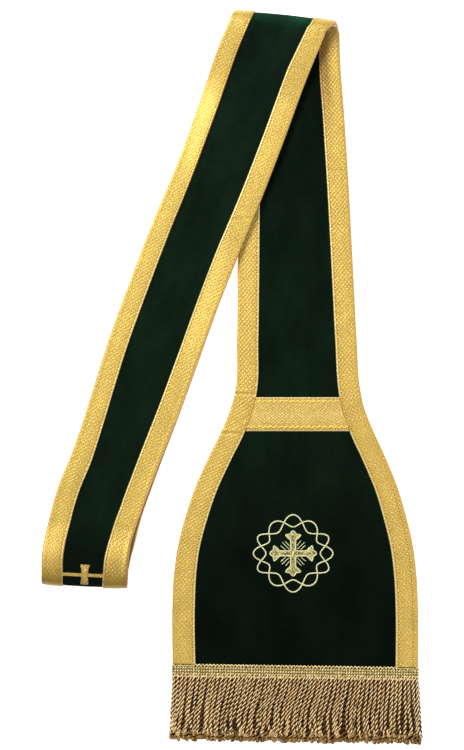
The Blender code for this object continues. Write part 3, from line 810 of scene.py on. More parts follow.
def border_across(stations, hand, inset=0.0, out=None, extra=None):
    """The galloon's columns in each row, from its outer edge in, on the LEFT or the RIGHT."""
    across = np.empty((len(stations), len(GALLOON["over"])))
    share = np.array(GALLOON["over"]) / BORDER_WIDTH
    own = "slant" if stations[0][0] == "neck" else "leg"
    for zone, index, at in by_zone(stations):
        half, *widths = border_span(zone, at)
        edge = half - inset + (0.0 if out is None else out(zone, at))
        width = widths[0 if hand == LEFT else 1]
        if extra is not None:
            end = ZONES[own].last
            beyond = end + FOLD_LENGTH * (at if own == "slant" else 1 - at)
            near = {own: at, "neck": SLANT["y"][0], "top": beyond}.get(zone, end + FOLD_LENGTH)
            width = width + straight(extra, "extra", near + 0.0 * at)
        across[index] = hand * (edge[:, None] - width[:, None] * share)
    return across


def add_border(
    name, stations, hand, side, carrier, node, finish=galloon, inset=0.0, out=None, extra=None,
    **surface
):
    """A length of the galloon along one edge of a velvet, its outer side turned over that edge."""
    across = border_across(stations, hand, inset, out, extra)
    front = FACE_DEPTH + np.array(GALLOON["rise"])
    back = np.where(np.array(GALLOON["over"]) < VELVET_INSET, TURNED_DEPTH, BACK_DEPTH)
    border = add_cloth(
        name, stations, across, np.array(GALLOON["over"]), front, back,
        (finish, galloon_back), side, moves_back=True, **surface,
    )
    border.parent = carrier
    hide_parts(node)


# How far apart the rows of each border are made
SLANT_GAP, LEG_GAP, HIDDEN_GAP = 1.2, 1.0, 2.0
slant_places = {
    LEFT: {"extra": SLANT_LEFT_EXTRA}, RIGHT: {"extra": SLANT_RIGHT_EXTRA, "out": slant_out}
}
leg_places = {LEFT: {"extra": LEG_LEFT_EXTRA}, RIGHT: {"extra": LEG_RIGHT_EXTRA}}
hidden_places = {LEFT: {"inset": HIDDEN_INSET + VELVET_INSET}, RIGHT: {"out": peep}}
for hand, which, slant_finish in ((LEFT, "left", selvage_shade_galloon), (RIGHT, "right", neck_galloon)):
    add_border(
        "slant_galloon_" + which, upper_half_stations(SLANT_GAP), hand, UPPER, slant_velvet,
        "slant_border_" + which, slant_finish, lifted=True, creases=SLANT_CREASES,
        **slant_places[hand],
    )
    add_border(
        "leg_galloon_" + which, lower_half_stations(LEG_GAP), hand, LOWER, leg_velvet,
        "leg_border_" + which, fold_galloon, creases=LEG_CREASES, **leg_places[hand],
    )
    add_border(
        "under_slant_galloon_" + which, under_slant_stations(HIDDEN_GAP), hand, LOWER,
        under_slant_velvet, "hidden_slant", **hidden_places[hand],
    )
    add_border(
        "under_leg_galloon_" + which, under_leg_stations(HIDDEN_GAP), hand, UPPER,
        under_leg_velvet, "hidden_leg", inset=HIDDEN_INSET,
    )


def map_left_border(cloth, stations, extra):
    """Adds to the map of rows one metre less how far each point lies from the left border."""
    mesh, inner = cloth.data, border_across(stations, LEFT, extra=extra)[:, -1]
    corners = corners_of(mesh)
    places, rows = np.empty(2 * len(corners)), np.empty(2 * len(corners))
    mesh.uv_layers["weave"].data.foreach_get("uv", places)
    mesh.uv_layers["rows"].data.foreach_get("uv", rows)
    rows[::2] = 1 - (places[::2] - inner[corners // (len(mesh.vertices) // len(stations))] * MM)
    mesh.uv_layers["rows"].data.foreach_set("uv", rows)


# The left borders' distances drive the pile's painted shadow beside them
map_left_border(slant_velvet, slant_rows, SLANT_LEFT_EXTRA)
map_left_border(leg_velvet, leg_rows, LEG_LEFT_EXTRA)

# ---------------------------------------------------------- crossbar on the spade end
# A wider, paler galloon sewn across the top of the spade before the borders, which lie over
# its two ends. A fine gilt cord waves along each of its sides.
CROSSBAR_TOP, CROSSBAR_BOTTOM = -18.6, -47.8
CROSSBAR_WIDTH = CROSSBAR_TOP - CROSSBAR_BOTTOM
CROSSBAR_DEPTH = 2.72
# Down the crossbar: distance from its upper edge, and its face's rise over the plain depth
CROSSBAR_RISE = table(
    "over rise", (0.0, -0.4), (0.5, -0.05), (1.0, 0.05), (1.8, -0.08), (2.6, 0.02), (13.6, 0.1),
    (26.6, 0.02), (27.4, -0.08), (28.2, 0.05), (28.7, -0.05), (CROSSBAR_WIDTH, -0.4),
)
crossbar_finish = galloon_finish(
    "metal_thread_galloon_pale", CROSSBAR_WIDTH, ((SELVAGE, 0.8), (SELVAGE, 0.8)), "#C4A552",
    (2.0, 0.55), 900.0, spark=0.7,
)
crossbar_stations = runs("leg", CROSSBAR_TOP, CROSSBAR_BOTTOM, 0.6)
crossbar_at = np.array([at for _, at in crossbar_stations])
half, left, right = border_span("leg", crossbar_at)
# Its ends are tucked this far under the borders
TUCKED_UNDER = 4.0
starts, ends = left - half - TUCKED_UNDER, half - right + TUCKED_UNDER
crossbar_across = starts[:, None] + (ends - starts)[:, None] * np.linspace(0, 1, 49)
crossbar_rise = column(CROSSBAR_RISE, "rise", CROSSBAR_TOP - crossbar_at, "over")
crossbar = add_cloth(
    "crossbar_galloon", crossbar_stations, crossbar_across, (CROSSBAR_TOP - crossbar_at)[:, None],
    CROSSBAR_DEPTH + crossbar_rise[:, None], BACK_DEPTH,
    (crossbar_finish, galloon_back), LOWER, creases=LEG_CREASES, moves_back=True,
    down=crossbar_across,
)
crossbar.parent = leg_velvet
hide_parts("crossbar")


def open_tree(name, inputs):
    """A geometry node tree with named inputs: its tree and the node that holds them."""
    tree = bpy.data.node_groups.new(name, "GeometryNodeTree")
    kinds = {"Geometry": "NodeSocketGeometry", "Material": "NodeSocketMaterial"}
    for socket in ("Geometry", *inputs, "Material"):
        kind = kinds.get(
            socket, "NodeSocketInt" if socket in ("Count", "Seed", "Sides") else "NodeSocketFloat"
        )
        tree.interface.new_socket(socket, in_out="INPUT", socket_type=kind)
    tree.interface.new_socket("Geometry", in_out="OUTPUT", socket_type="NodeSocketGeometry")
    return tree, add_node(tree, "NodeGroupInput").node.outputs


def close_tree(tree, given, shape):
    """Ends a geometry node tree: its shape is made real, smooth and given its material."""
    whole = add_node(tree, "GeometryNodeRealizeInstances", {0: shape})
    smooth = add_node(tree, "GeometryNodeSetShadeSmooth", {0: whole})
    done = add_node(
        tree, "GeometryNodeSetMaterial", {"Geometry": smooth, "Material": given["Material"]}
    )
    tree.links.new(done, tree.nodes.new("NodeGroupOutput").inputs[0])
    return tree


def lobed_profile(tree, given, sides):
    """The section of a two-strand cord, with how far out each point is kept as `lobe`."""
    circle = add_node(tree, "GeometryNodeCurvePrimitiveCircle", {"Resolution": sides, "Radius": 1.0})
    place = add_node(tree, "GeometryNodeInputPosition")
    apart = add_node(tree, "ShaderNodeSeparateXYZ", {0: place}).node.outputs
    squared = add_node(tree, "ShaderNodeMath", {0: apart[0], 1: 2.0}, operation="POWER")
    waist = add_node(tree, "ShaderNodeMath", {0: 1.0, 1: given["Groove"]}, operation="SUBTRACT")
    reach = add_node(
        tree, "ShaderNodeMath", {0: squared, 1: given["Groove"], 2: waist}, operation="MULTIPLY_ADD"
    )
    radius = add_node(tree, "ShaderNodeMath", {0: given["Width"], 1: 0.5}, operation="MULTIPLY")
    size = add_node(tree, "ShaderNodeMath", {0: reach, 1: radius}, operation="MULTIPLY")
    there = add_node(tree, "ShaderNodeVectorMath", {0: place, "Scale": size}, operation="SCALE")
    kept = add_node(
        tree, "GeometryNodeStoreNamedAttribute", {"Geometry": circle, "Name": "lobe", "Value": squared},
        data_type="FLOAT", domain="POINT",
    )
    return add_node(tree, "GeometryNodeSetPosition", {"Geometry": kept, "Position": there})


def stepped_path(tree, given, step):
    """The tree's edges as curves, with a point at each step along them."""
    path = add_node(tree, "GeometryNodeMeshToCurve", {"Mesh": given["Geometry"]})
    steps = {"Curve": path, "Length": given[step]}
    return add_node(tree, "GeometryNodeResampleCurve", steps, mode="LENGTH")


def cord_tree():
    """A two-strand cord along a path, with `Twist` turns in each metre."""
    tree, given = open_tree("laid_cord", ("Width", "Groove", "Twist", "Step"))
    path = stepped_path(tree, given, "Step")
    path = add_node(tree, "GeometryNodeSetCurveNormal", {"Curve": path}, mode="Z_UP")
    length = add_node(tree, "GeometryNodeSplineParameter", out="Length")
    turn = add_node(tree, "ShaderNodeMath", {0: given["Twist"], 1: 2 * math.pi}, operation="MULTIPLY")
    tilt = add_node(tree, "ShaderNodeMath", {0: length, 1: turn}, operation="MULTIPLY")
    path = add_node(tree, "GeometryNodeSetCurveTilt", {"Curve": path, "Tilt": tilt})
    skin = add_node(
        tree, "GeometryNodeCurveToMesh",
        {"Curve": path, "Profile Curve": lobed_profile(tree, given, 10), "Fill Caps": True},
    )
    return close_tree(tree, given, skin)


def grown(name, tree, paths, values, carrier):
    """Runs a tree on open or closed paths of points, and keeps the result as a plain mesh."""
    points, edges = [], []
    for path, closed in paths:
        first = len(points)
        points += ((np.asarray(path) - ORIGIN) * MM).tolist()
        edges += [(i, i + 1) for i in range(first, len(points) - 1)]
        edges += [(len(points) - 1, first)] if closed else []
    mesh = bpy.data.meshes.new(name)
    mesh.from_pydata(points, edges, [])
    piece = bpy.data.objects.new(name, mesh)
    bpy.context.scene.collection.objects.link(piece)
    modifier = piece.modifiers.new(tree.name, "NODES")
    modifier.node_group = tree
    for item in tree.interface.items_tree:
        if item.in_out == "INPUT" and item.name in values:
            modifier[item.identifier] = values[item.name]
    graph = bpy.context.evaluated_depsgraph_get()
    plain = bpy.data.meshes.new_from_object(
        piece.evaluated_get(graph), preserve_all_data_layers=True, depsgraph=graph
    )
    piece.modifiers.clear()
    piece.data = plain
    shell = bmesh.new()
    shell.from_mesh(plain)
    bmesh.ops.remove_doubles(shell, verts=shell.verts, dist=1e-7)
    bmesh.ops.recalc_face_normals(shell, faces=shell.faces)
    shell.to_mesh(plain)
    shell.free()
    piece.parent = carrier
    return piece


laid_cord = cord_tree()


def add_cord(name, paths, width, groove, twist, step, finish):
    """Lays two-strand cord on the straight stretch: its width and step are in millimetres.

    `groove` is how deep the two strands part, as a share of the cord's radius.
    """
    values = {"Width": width * MM, "Groove": groove, "Twist": twist, "Step": step * MM}
    return grown(name, laid_cord, paths, {**values, "Material": finish}, leg_velvet)


# Gilt cord: fine gold-wrapped cotton, brighter than the woven ground, its wraps drawn 1.1 mm apart
gilt_cord = flecked_finish(
    "gilt_wrapped_cord", "#E8BC3C", "#FFE67C", 900.0, {"Metallic": 0.4, "Roughness": 0.4}, 1.0
)
# Each wave's place in from the crossbar's edge, its swing, and its length
WAVE_IN, WAVE_SWING, WAVE_LENGTH = 3.6, 0.8, 4.7


def on_leg(x, y, depth):
    """Points on the straight stretch's upper face, from where they are seen from above."""
    middle = column(LEG, "middle", y)
    lean = HEM_ANGLE * ease(1 - (y - HEM_Y) / HEM_TURN)
    stations = [("leg", float(at)) for at in y - (x - middle) * np.tan(lean)]
    return laid(stations, (x - middle)[:, None], depth, LOWER, creases=LEG_CREASES)[:, 0]


def bar_places(inwards, short, step):
    """Places along both sides of the crossbar, `short` of the borders: each side's x and y."""
    for y in (CROSSBAR_TOP - inwards, CROSSBAR_BOTTOM + inwards):
        half, middle = (column(LEG, name, np.array([y]))[0] for name in ("half", "middle"))
        reach = half - BORDER_WIDTH - short
        yield middle + np.arange(-reach, reach, step), y


wave_paths = [
    (on_leg(x, y + WAVE_SWING * np.sin(2 * math.pi * x / WAVE_LENGTH), CROSSBAR_DEPTH + 0.25), False)
    for x, y in bar_places(WAVE_IN, 2.0, 0.55)
]
add_cord("crossbar_waves", wave_paths, 1.45, 0.15, 300.0, 0.5, gilt_cord)

# ---------------------------------------------------------- sewing
# Each border is machine-sewn just inside its selvage. The brown-gold thread sinks into the
# galloon, so every stitch shows as a small dark dent. The spade's right side has a second row.

# How far in from an edge each row of stitches lies: the borders', the crossbar's, and the dark
# row painted as the borders' shadow on the crossbar
SEWN_IN, BAR_SEWN_IN, EDGE_SHADOW_IN = 16.1, 1.4, 17.7
# How far in the second row lies, and where it starts
SECOND_ROW_IN, SECOND_ROW_FROM = 4.3, -93.0


def stitch_tree():
    """Small stitches along a path, one at each spacing, lying along it."""
    tree, given = open_tree("stitch_row", ("Spacing", "Length", "Width", "Height"))
    path = stepped_path(tree, given, "Spacing")
    tangent = add_node(tree, "GeometryNodeInputTangent")
    turn = add_node(tree, "FunctionNodeAlignRotationToVector", {"Vector": tangent}, axis="X")
    thread = add_node(tree, "GeometryNodeMeshIcoSphere", {"Radius": 0.5, "Subdivisions": 1})
    size = add_node(
        tree, "ShaderNodeCombineXYZ", {0: given["Length"], 1: given["Width"], 2: given["Height"]}
    )
    stitches = add_node(
        tree, "GeometryNodeInstanceOnPoints",
        {"Points": path, "Instance": thread, "Rotation": turn, "Scale": size},
    )
    return close_tree(tree, given, stitches)


stitch_row = stitch_tree()

# Sewing thread: waxed cotton, dull, uneven from stitch to stitch
sewing_thread = flecked_finish(
    "waxed_cotton_thread", "#6A4E18", "#A8843A", 300.0, {"Roughness": 0.6}
)


def seam_path(stations, hand, over, side, depth, places, **surface):
    """A line along a border, `over` millimetres in from its outer edge."""
    across = border_across(stations, hand, **places)
    share = over / BORDER_WIDTH
    line = across[:, :1] + (across[:, -1:] - across[:, :1]) * share
    return laid(stations, line, depth, side, **surface)[:, 0], False


# The stitches lie in the dent that they press into the galloon
SEAM_DEPTH = BRAID_DEPTH - 0.14
# A stitch is 0.5 mm wide, drawn wider so that it shows
STITCH = {"Spacing": 2.45 * MM, "Length": 1.35 * MM, "Width": 0.95 * MM, "Height": 0.40 * MM,
          "Material": sewing_thread}
slant_seams = [
    seam_path(slant_rows, hand, SEWN_IN, UPPER, SEAM_DEPTH, slant_places[hand], lifted=True,
              creases=SLANT_CREASES)
    for hand in (LEFT, RIGHT)
]
grown("slant_stitches", stitch_row, slant_seams, STITCH, slant_velvet)
leg_seams = [
    seam_path(leg_rows, hand, SEWN_IN, LOWER, SEAM_DEPTH, leg_places[hand], creases=LEG_CREASES)
    for hand in (LEFT, RIGHT)
]
second_row = runs("leg", SECOND_ROW_FROM, HEM_Y, VELVET_GAP)
leg_seams.append(
    seam_path(second_row, RIGHT, SECOND_ROW_IN, LOWER, SEAM_DEPTH + 0.02, leg_places[RIGHT],
              creases=LEG_CREASES)
)
leg_seams += [
    (on_leg(x, y + 0.0 * x, CROSSBAR_DEPTH - 0.05), False)
    for x, y in bar_places(BAR_SEWN_IN, 0.5, 1.0)
]
grown("leg_stitches", stitch_row, leg_seams, STITCH, leg_velvet)
# Where the borders cross the crossbar, a close row of dark stitches along their inner edges is
# painted shadow, standing for the shade that those edges cast
edge_shadow_rows = runs("leg", CROSSBAR_TOP - 0.8, CROSSBAR_BOTTOM + 0.8, 1.5)
edge_shadow_paths = [
    seam_path(edge_shadow_rows, hand, EDGE_SHADOW_IN, LOWER, FACE_DEPTH, leg_places[hand],
              creases=LEG_CREASES)
    for hand in (LEFT, RIGHT)
]
# Their thread is gilt cotton, nearer the galloon's own gold; its darker tone is painted shadow
edge_shadow_thread = flecked_finish(
    "painted_edge_shadow_thread", "#A07420", "#C0963C", 300.0, {"Roughness": 0.5}
)
grown(
    "crossbar_painted_edge_shadow", stitch_row, edge_shadow_paths,
    {**STITCH, "Spacing": 1.15 * MM, "Length": 1.5 * MM, "Width": 1.4 * MM,
     "Material": edge_shadow_thread},
    leg_velvet,
)

# ---------------------------------------------------------- cross at the neck
# Two short lengths of narrow galloon: the arm is sewn down first from border to border, and
# the upright over it, from round the neck fold to a raw end that flares a little.

# The upright's width, its raw end, and the part of the fold's turn where it comes in
NECK_UPRIGHT_WIDTH, NECK_UPRIGHT_TOP, NECK_UPRIGHT_TURN = 5.5, -162.2, 0.22
# The arm's two sides, and how far its ends are tucked under the borders
NECK_ARM_TOP, NECK_ARM_LOW, ARM_TUCK = -169.2, -171.8, 1.5
# The depths of their faces, and how much thinner their edges are pressed
NECK_ARM_FRONT, NECK_UPRIGHT_FRONT, NARROW_PRESSED = 2.75, 3.35, 0.3
# The narrow galloon's tint is darker than the borders': painted shade over the neck cross
narrow_galloon = galloon_finish(
    "narrow_galloon", NECK_UPRIGHT_WIDTH, ((GOLD_DULL, 0.4), (GOLD_DULL, 0.4)), "#786024",
    (1.6, 1.0),
)


def add_narrow_braid(node, stations, edges, front, columns, crosswise=False):
    """A length of the narrow galloon; `crosswise` runs it along the rows instead of down them."""
    across = edges[:, :1] + (edges[:, 1:] - edges[:, :1]) * np.linspace(0, 1, columns)
    crown = np.full(columns, front)
    crown[[0, -1]] -= NARROW_PRESSED
    over = np.linspace(0, NECK_UPRIGHT_WIDTH, len(stations))[:, None]
    braid = add_cloth(
        node + "_braid", stations, across, over if crosswise else across + NECK_UPRIGHT_WIDTH / 2,
        crown, BACK_DEPTH, (narrow_galloon, galloon_back), UPPER, lifted=True,
        down=across if crosswise else None,
    )
    braid.parent = slant_velvet
    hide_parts(node)


arm_stations = runs("slant", NECK_ARM_LOW, NECK_ARM_TOP, 0.5)
arm_edges = np.empty((len(arm_stations), 2))
arm_edges[:, 0] = border_across(arm_stations, LEFT)[:, -1] - ARM_TUCK
arm_edges[:, 1] = border_across(arm_stations, RIGHT, **slant_places[RIGHT])[:, -1] + ARM_TUCK
add_narrow_braid("neck_cross_arm", arm_stations, arm_edges, NECK_ARM_FRONT, 31, crosswise=True)
upright_stations = joined(
    runs("neck", NECK_UPRIGHT_TURN, 0.0, 0.02), runs("slant", SLANT["y"][0], NECK_UPRIGHT_TOP, 0.6)
)
# It widens a little round the fold, and by 1.2 to each side towards its raw end
to_top = np.linspace(0, 1, len(upright_stations))
flare = NECK_UPRIGHT_WIDTH / 2 + 1.2 * ease((to_top - 0.7) / 0.3) + 0.4 * ease(1 - to_top / 0.4)
upright_edges = np.stack((-flare, flare), axis=-1)
add_narrow_braid("neck_cross_upright", upright_stations, upright_edges, NECK_UPRIGHT_FRONT, 9)

# ---------------------------------------------------------- embroidered ring
# Two cords of pale gold silk that cross twelve times, over and under in turn. They are laid on
# the velvet and couched down with fine stitches of the same silk.
MOTIF = (53.3, -152.6)
RING_LOBES = 6
# Each cord's width, and the length in which its strands go once round each other
RING_CORD, CORD_PITCH = 1.34, 4.2
# The ring in each quarter: the turn from the cross's upright, the mean radius there, and how far
# each cord swings off it. The first and last rows lie past the quarter's ends.
RING = table(
    "phase turn radius wave", (-15, -16.5, 27.6, 5.05), (0, 0, 27.9, 5.25), (15, 16.5, 27.6, 5.05),
    (30, 34.0, 26.8, 4.8), (45, 51.0, 26.6, 4.95), (60, 64.3, 28.1, 5.25), (75, 77.0, 28.2, 5.35),
    (90, 90.0, 28.7, 5.4), (105, 103.0, 28.2, 5.35),
)
# The cords' height over the table, and how far over or under it they pass at each crossing
CORD_LIE = REST_HEIGHT + VELVET_DEPTH + 0.42
CORD_WEAVE = 0.45

# Embroidery silk: pale gold, softly shining, each cord wound from fine strands
silk_cord, tree = new_finish("pale_gold_silk_cord")
lobe = add_node(tree, "ShaderNodeAttribute", attribute_name="lobe", out="Fac")
place = add_node(tree, "ShaderNodeTexCoord", out="Object")
ply = add_node(tree, "ShaderNodeTexNoise", {"Vector": place, "Scale": 700.0, "Detail": 1.0})
silk = add_node(
    tree, "ShaderNodeMix", {0: ply, 6: linear("#F4F29E"), 7: linear("#FFFFDC")}, 2, data_type="RGBA"
)
# Painted shade: the cord darkens into the groove between its two strands
shade = add_node(tree, "ShaderNodeMapRange", {0: lobe, 1: 0.0, 2: 0.5, 3: 0.95, 4: 0.0})
silk = add_node(
    tree, "ShaderNodeMix", {0: shade, 6: silk, 7: linear("#77703A")}, 2, data_type="RGBA"
)
close_finish(
    tree, {"Base Color": silk, "Roughness": 0.38, "Metallic": 0.1, "Sheen Weight": 0.2,
           "Sheen Roughness": 0.4}
)

phase = np.arange(0.0, 360.0, 1.5)
quarter = 90 - np.abs(phase % 180 - 90)
radius, wave, ahead = (column(RING, name, quarter, "phase") for name in ("radius", "wave", "turn"))
ahead = (ahead - quarter) * np.where(phase % 180 > 90, -1, 1)
turn, lobes = np.radians(phase + ahead), np.radians(RING_LOBES * phase)
ring_paths = []
for sign in (1, -1):
    reach = radius + sign * wave * np.cos(lobes)
    x, y = MOTIF[0] + reach * np.sin(turn), MOTIF[1] + reach * np.cos(turn)
    height = CORD_LIE + sign * CORD_WEAVE * np.sin(lobes)
    ring_paths.append((np.stack((x, y, height), axis=-1), True))
# A whole number of turns, so that each cord meets itself
first_cord = ring_paths[0][0]
ring_length = np.linalg.norm(first_cord - np.roll(first_cord, 1, axis=0), axis=-1).sum()
ring_turns = round(ring_length / CORD_PITCH) / (ring_length * MM)
ring = add_cord("embroidered_ring", ring_paths, RING_CORD, 0.28, ring_turns, 0.45, silk_cord)
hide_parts("ring")

# ---------------------------------------------------------- embroidered cross and its rays
# A Greek cross with three-pointed ends: satin stitch over a pad, edged with the same cord,
# with three short straight stitches between each two of its arms.

# One side of an arm, how much longer the level arms are, the pad's rise, and the rays' ends
CROSS_ARM = (
    (2.2, 2.2), (2.2, 7.0), (2.1, 11.4), (4.2, 13.4), (6.8, 15.6), (5.2, 16.3), (2.8, 16.3),
    (1.9, 17.8), (1.1, 18.9), (0.0, 19.3),
)
CROSS_SIDEWAYS = 1.035
CROSS_PAD = 0.55
RAYS = (((-3.6, 3.7), (-9.5, 9.7)), ((-3.3, 6.5), (-7.0, 10.6)), ((-6.6, 3.3), (-10.8, 6.6)))


def quartered(places, sideways=1.0):
    """The same places turned into each quarter about the motif's middle, the level two longer."""
    for quarter in range(4):
        turn = quarter * math.pi / 2
        cosine, sine = round(math.cos(turn)), round(math.sin(turn))
        out = sideways if quarter % 2 else 1.0
        yield [
            (MOTIF[0] + x * cosine - y * out * sine, MOTIF[1] + x * sine + y * out * cosine)
            for x, y in places
        ]


# How high the edging, the rays and the middle stitch lie over the table
EDGE_LIE = REST_HEIGHT + VELVET_DEPTH + 0.5
RAY_LIE, MIDDLE_LIE = EDGE_LIE - 0.1, EDGE_LIE + 0.35
arm = list(CROSS_ARM) + [(-aside, out) for aside, out in CROSS_ARM[-2:0:-1]]
corners = np.array([
    (x, y, EDGE_LIE) for quarter in quartered(arm, CROSS_SIDEWAYS) for x, y in quarter
])
# Each side is parted into five, and the corners are eased twice
sides = np.roll(corners, -1, axis=0) - corners
outline = (corners[:, None] + sides[:, None] * np.arange(5)[:, None] / 5).reshape(-1, 3)
for _ in range(2):
    outline = (np.roll(outline, 1, axis=0) + 2 * outline + np.roll(outline, -1, axis=0)) / 4
ray_paths = [
    (np.array([(x, y, RAY_LIE) for x, y in ray]), False)
    for places in RAYS for ray in quartered(places)
]
# One upright satin stitch covers the middle
middle_stitch = np.array([(MOTIF[0], MOTIF[1] + y, MIDDLE_LIE) for y in (-1.9, 2.1)])
for name, paths, width, groove, twist, step in (
    ("embroidered_cross_edge", [(outline, True)], 1.1, 0.2, 300.0, 0.35),
    ("embroidered_rays", ray_paths, 0.62, 0.1, 200.0, 0.5),
    ("embroidered_middle", [(middle_stitch, False)], 1.5, 0.1, 100.0, 0.5),
):
    add_cord(name, paths, width, groove, twist, step, silk_cord)

# Satin stitch filling: the same silk, painted in shade between its stitches, with brown gaps
# where the two sides' stitches meet along the middle of each arm
silk_filling, tree = new_finish("pale_gold_silk_filling")
place = add_node(tree, "ShaderNodeTexCoord", out="Object")
knots = add_node(tree, "ShaderNodeTexVoronoi", {"Vector": place, "Scale": 620.0}, "Distance")
gaps = add_node(tree, "ShaderNodeTexNoise", {"Vector": place, "Scale": 560.0, "Detail": 1.0})
shade = add_node(tree, "ShaderNodeMapRange", {0: knots, 1: 0.25, 2: 0.75})
filling = add_node(
    tree, "ShaderNodeMix", {0: shade, 6: linear("#D4CC84"), 7: linear("#84783C")}, 2,
    data_type="RGBA",
)
off_arms = []
for axis in (0, 1):
    along = add_node(tree, "ShaderNodeSeparateXYZ", {0: place}, axis)
    middle = (MOTIF[axis] - ORIGIN[axis]) * MM
    off = add_node(tree, "ShaderNodeMath", {0: along, 1: middle}, operation="SUBTRACT")
    off_arms.append(add_node(tree, "ShaderNodeMath", {0: off}, operation="ABSOLUTE"))
nearest = add_node(tree, "ShaderNodeMath", {0: off_arms[0], 1: off_arms[1]}, operation="MINIMUM")
along_middle = add_node(
    tree, "ShaderNodeMapRange", {0: nearest, 1: 0.5 * MM, 2: 0.95 * MM, 3: 1.0, 4: 0.25}
)
gap = add_node(tree, "ShaderNodeMapRange", {0: gaps, 1: 0.46, 2: 0.56, 4: 0.95})
gap = add_node(tree, "ShaderNodeMath", {0: gap, 1: along_middle}, operation="MULTIPLY")
filling = add_node(
    tree, "ShaderNodeMix", {0: gap, 6: filling, 7: linear("#33240F")}, 2, data_type="RGBA"
)
knot_bump = add_node(
    tree, "ShaderNodeBump", {"Strength": 0.6, "Distance": 0.0004, "Height": knots}
)
close_finish(tree, {"Base Color": filling, "Roughness": 0.45, "Metallic": 0.1, "Normal": knot_bump})


def lofted_faces(rings, size):
    """The faces of a closed shape whose points run round one ring after another."""
    sides = [
        (k * size + i, k * size + (i + 1) % size, (k + 1) * size + (i + 1) % size, (k + 1) * size + i)
        for k in range(rings - 1) for i in range(size)
    ]
    return sides + [list(range(size)), list(range((rings - 1) * size, rings * size))]


# The pad's rings: how far out each lies as a share of the outline, and its depth
PAD = ((1.0, VELVET_DEPTH - 0.1), (0.97, VELVET_DEPTH + 0.3), (0.86, VELVET_DEPTH + CROSS_PAD))
pad_points = [
    (MOTIF[0] + (x - MOTIF[0]) * share, MOTIF[1] + (y - MOTIF[1]) * share, REST_HEIGHT + depth)
    for share, depth in PAD for x, y, _ in outline
]
cross = add_mesh(
    "embroidered_cross", pad_points, lofted_faces(len(PAD), len(outline)), (silk_filling,)
)
cross.parent = leg_velvet
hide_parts("cross")

# ---------------------------------------------------------- fringe heading
# A crocheted heading: small loops stand along its upper edge, rows of slanting chain stitch
# cross it, and the cords of the fringe hang from it. It is sewn on below the hem.

# How many loops there are, the heading's depth, how far it passes the borders, and its place
# below the hem
LOOPS = 68
HEADING_DEPTH, HEADING_OUT, HEADING_GAP = 11.0, 0.6, 0.3
HEADING_FACE = REST_HEIGHT + 1.75
CHAIN_ROWS = (2.8, 5.2, 7.6, 10.0)
hem_half = LEG["half"][-1] + HEADING_OUT
hem_middle = np.array((LEG["middle"][-1], HEM_Y))
hem_way = np.array((math.cos(HEM_ANGLE), math.sin(HEM_ANGLE)))


def below_hem(along, down, height):
    """Points `along` the hem from its middle, and `down` from it towards the tips."""
    x = hem_middle[0] + along * hem_way[0] + down * hem_way[1]
    y = hem_middle[1] + along * hem_way[1] - down * hem_way[0]
    return np.stack((x, y, height + 0.0 * x), axis=-1)


# Crochet cotton with a gilt thread: duller and paler than the cords below
crochet = flecked_finish(
    "gilt_crochet_cotton", "#BA9850", "#FFF2B8", 620.0,
    {"Roughness": 0.5, "Specular IOR Level": 0.1}, between=(0.35, 0.65),
)
# The tape behind it: plain brown cotton, which shows as dark gaps between the stitches
heading_ground = flecked_finish(
    "heading_tape_brown_cotton", "#4A3818", "#8A7040", 500.0,
    {"Roughness": 0.7, "Specular IOR Level": 0.1},
)

along = np.linspace(-hem_half, hem_half, 2 * LOOPS + 1)
# Down the tape: how far from its upper edge, and how high its face stands
tape_rows = ((0.3, 0.35), (0.4, 1.2), (1.2, 1.5), (HEADING_DEPTH - 1.0, 1.6), (HEADING_DEPTH, 0.8))
tape_top = [below_hem(along, HEADING_GAP + down, REST_HEIGHT + rise) for down, rise in tape_rows]
tape_low = [below_hem(along, HEADING_GAP + down, REST_HEIGHT + 0.1) for down, _ in tape_rows[::-1]]
tape = np.stack(tape_top + tape_low, axis=1)
heading = add_mesh(
    "fringe_heading", tape.reshape(-1, 3), lofted_faces(*tape.shape[:2]), (heading_ground,)
)
heading.parent = leg_velvet
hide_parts("fringe")

# The loops are one cord, worked from side to side. They stand lower on the borders' braid.
LOOP_RISE, LOOP_RISE_ON_BRAID = 1.9, 0.9
step = np.linspace(0, 1, LOOPS * 12 + 1)
loop_along = (2 * step - 1) * hem_half
on_velvet = ease((hem_half - BORDER_WIDTH - np.abs(loop_along)) / 1.5 + 0.5)
rise = LOOP_RISE_ON_BRAID + (LOOP_RISE - LOOP_RISE_ON_BRAID) * on_velvet
loop_down = HEADING_GAP + 1.5 - rise * np.abs(np.sin(math.pi * LOOPS * step)) ** 0.8
loops = below_hem(loop_along, loop_down, HEADING_FACE + 0.15 + 0.65 * on_velvet)
add_cord("heading_loops", [(loops, False)], 1.2, 0.25, 300.0, 0.4, crochet)


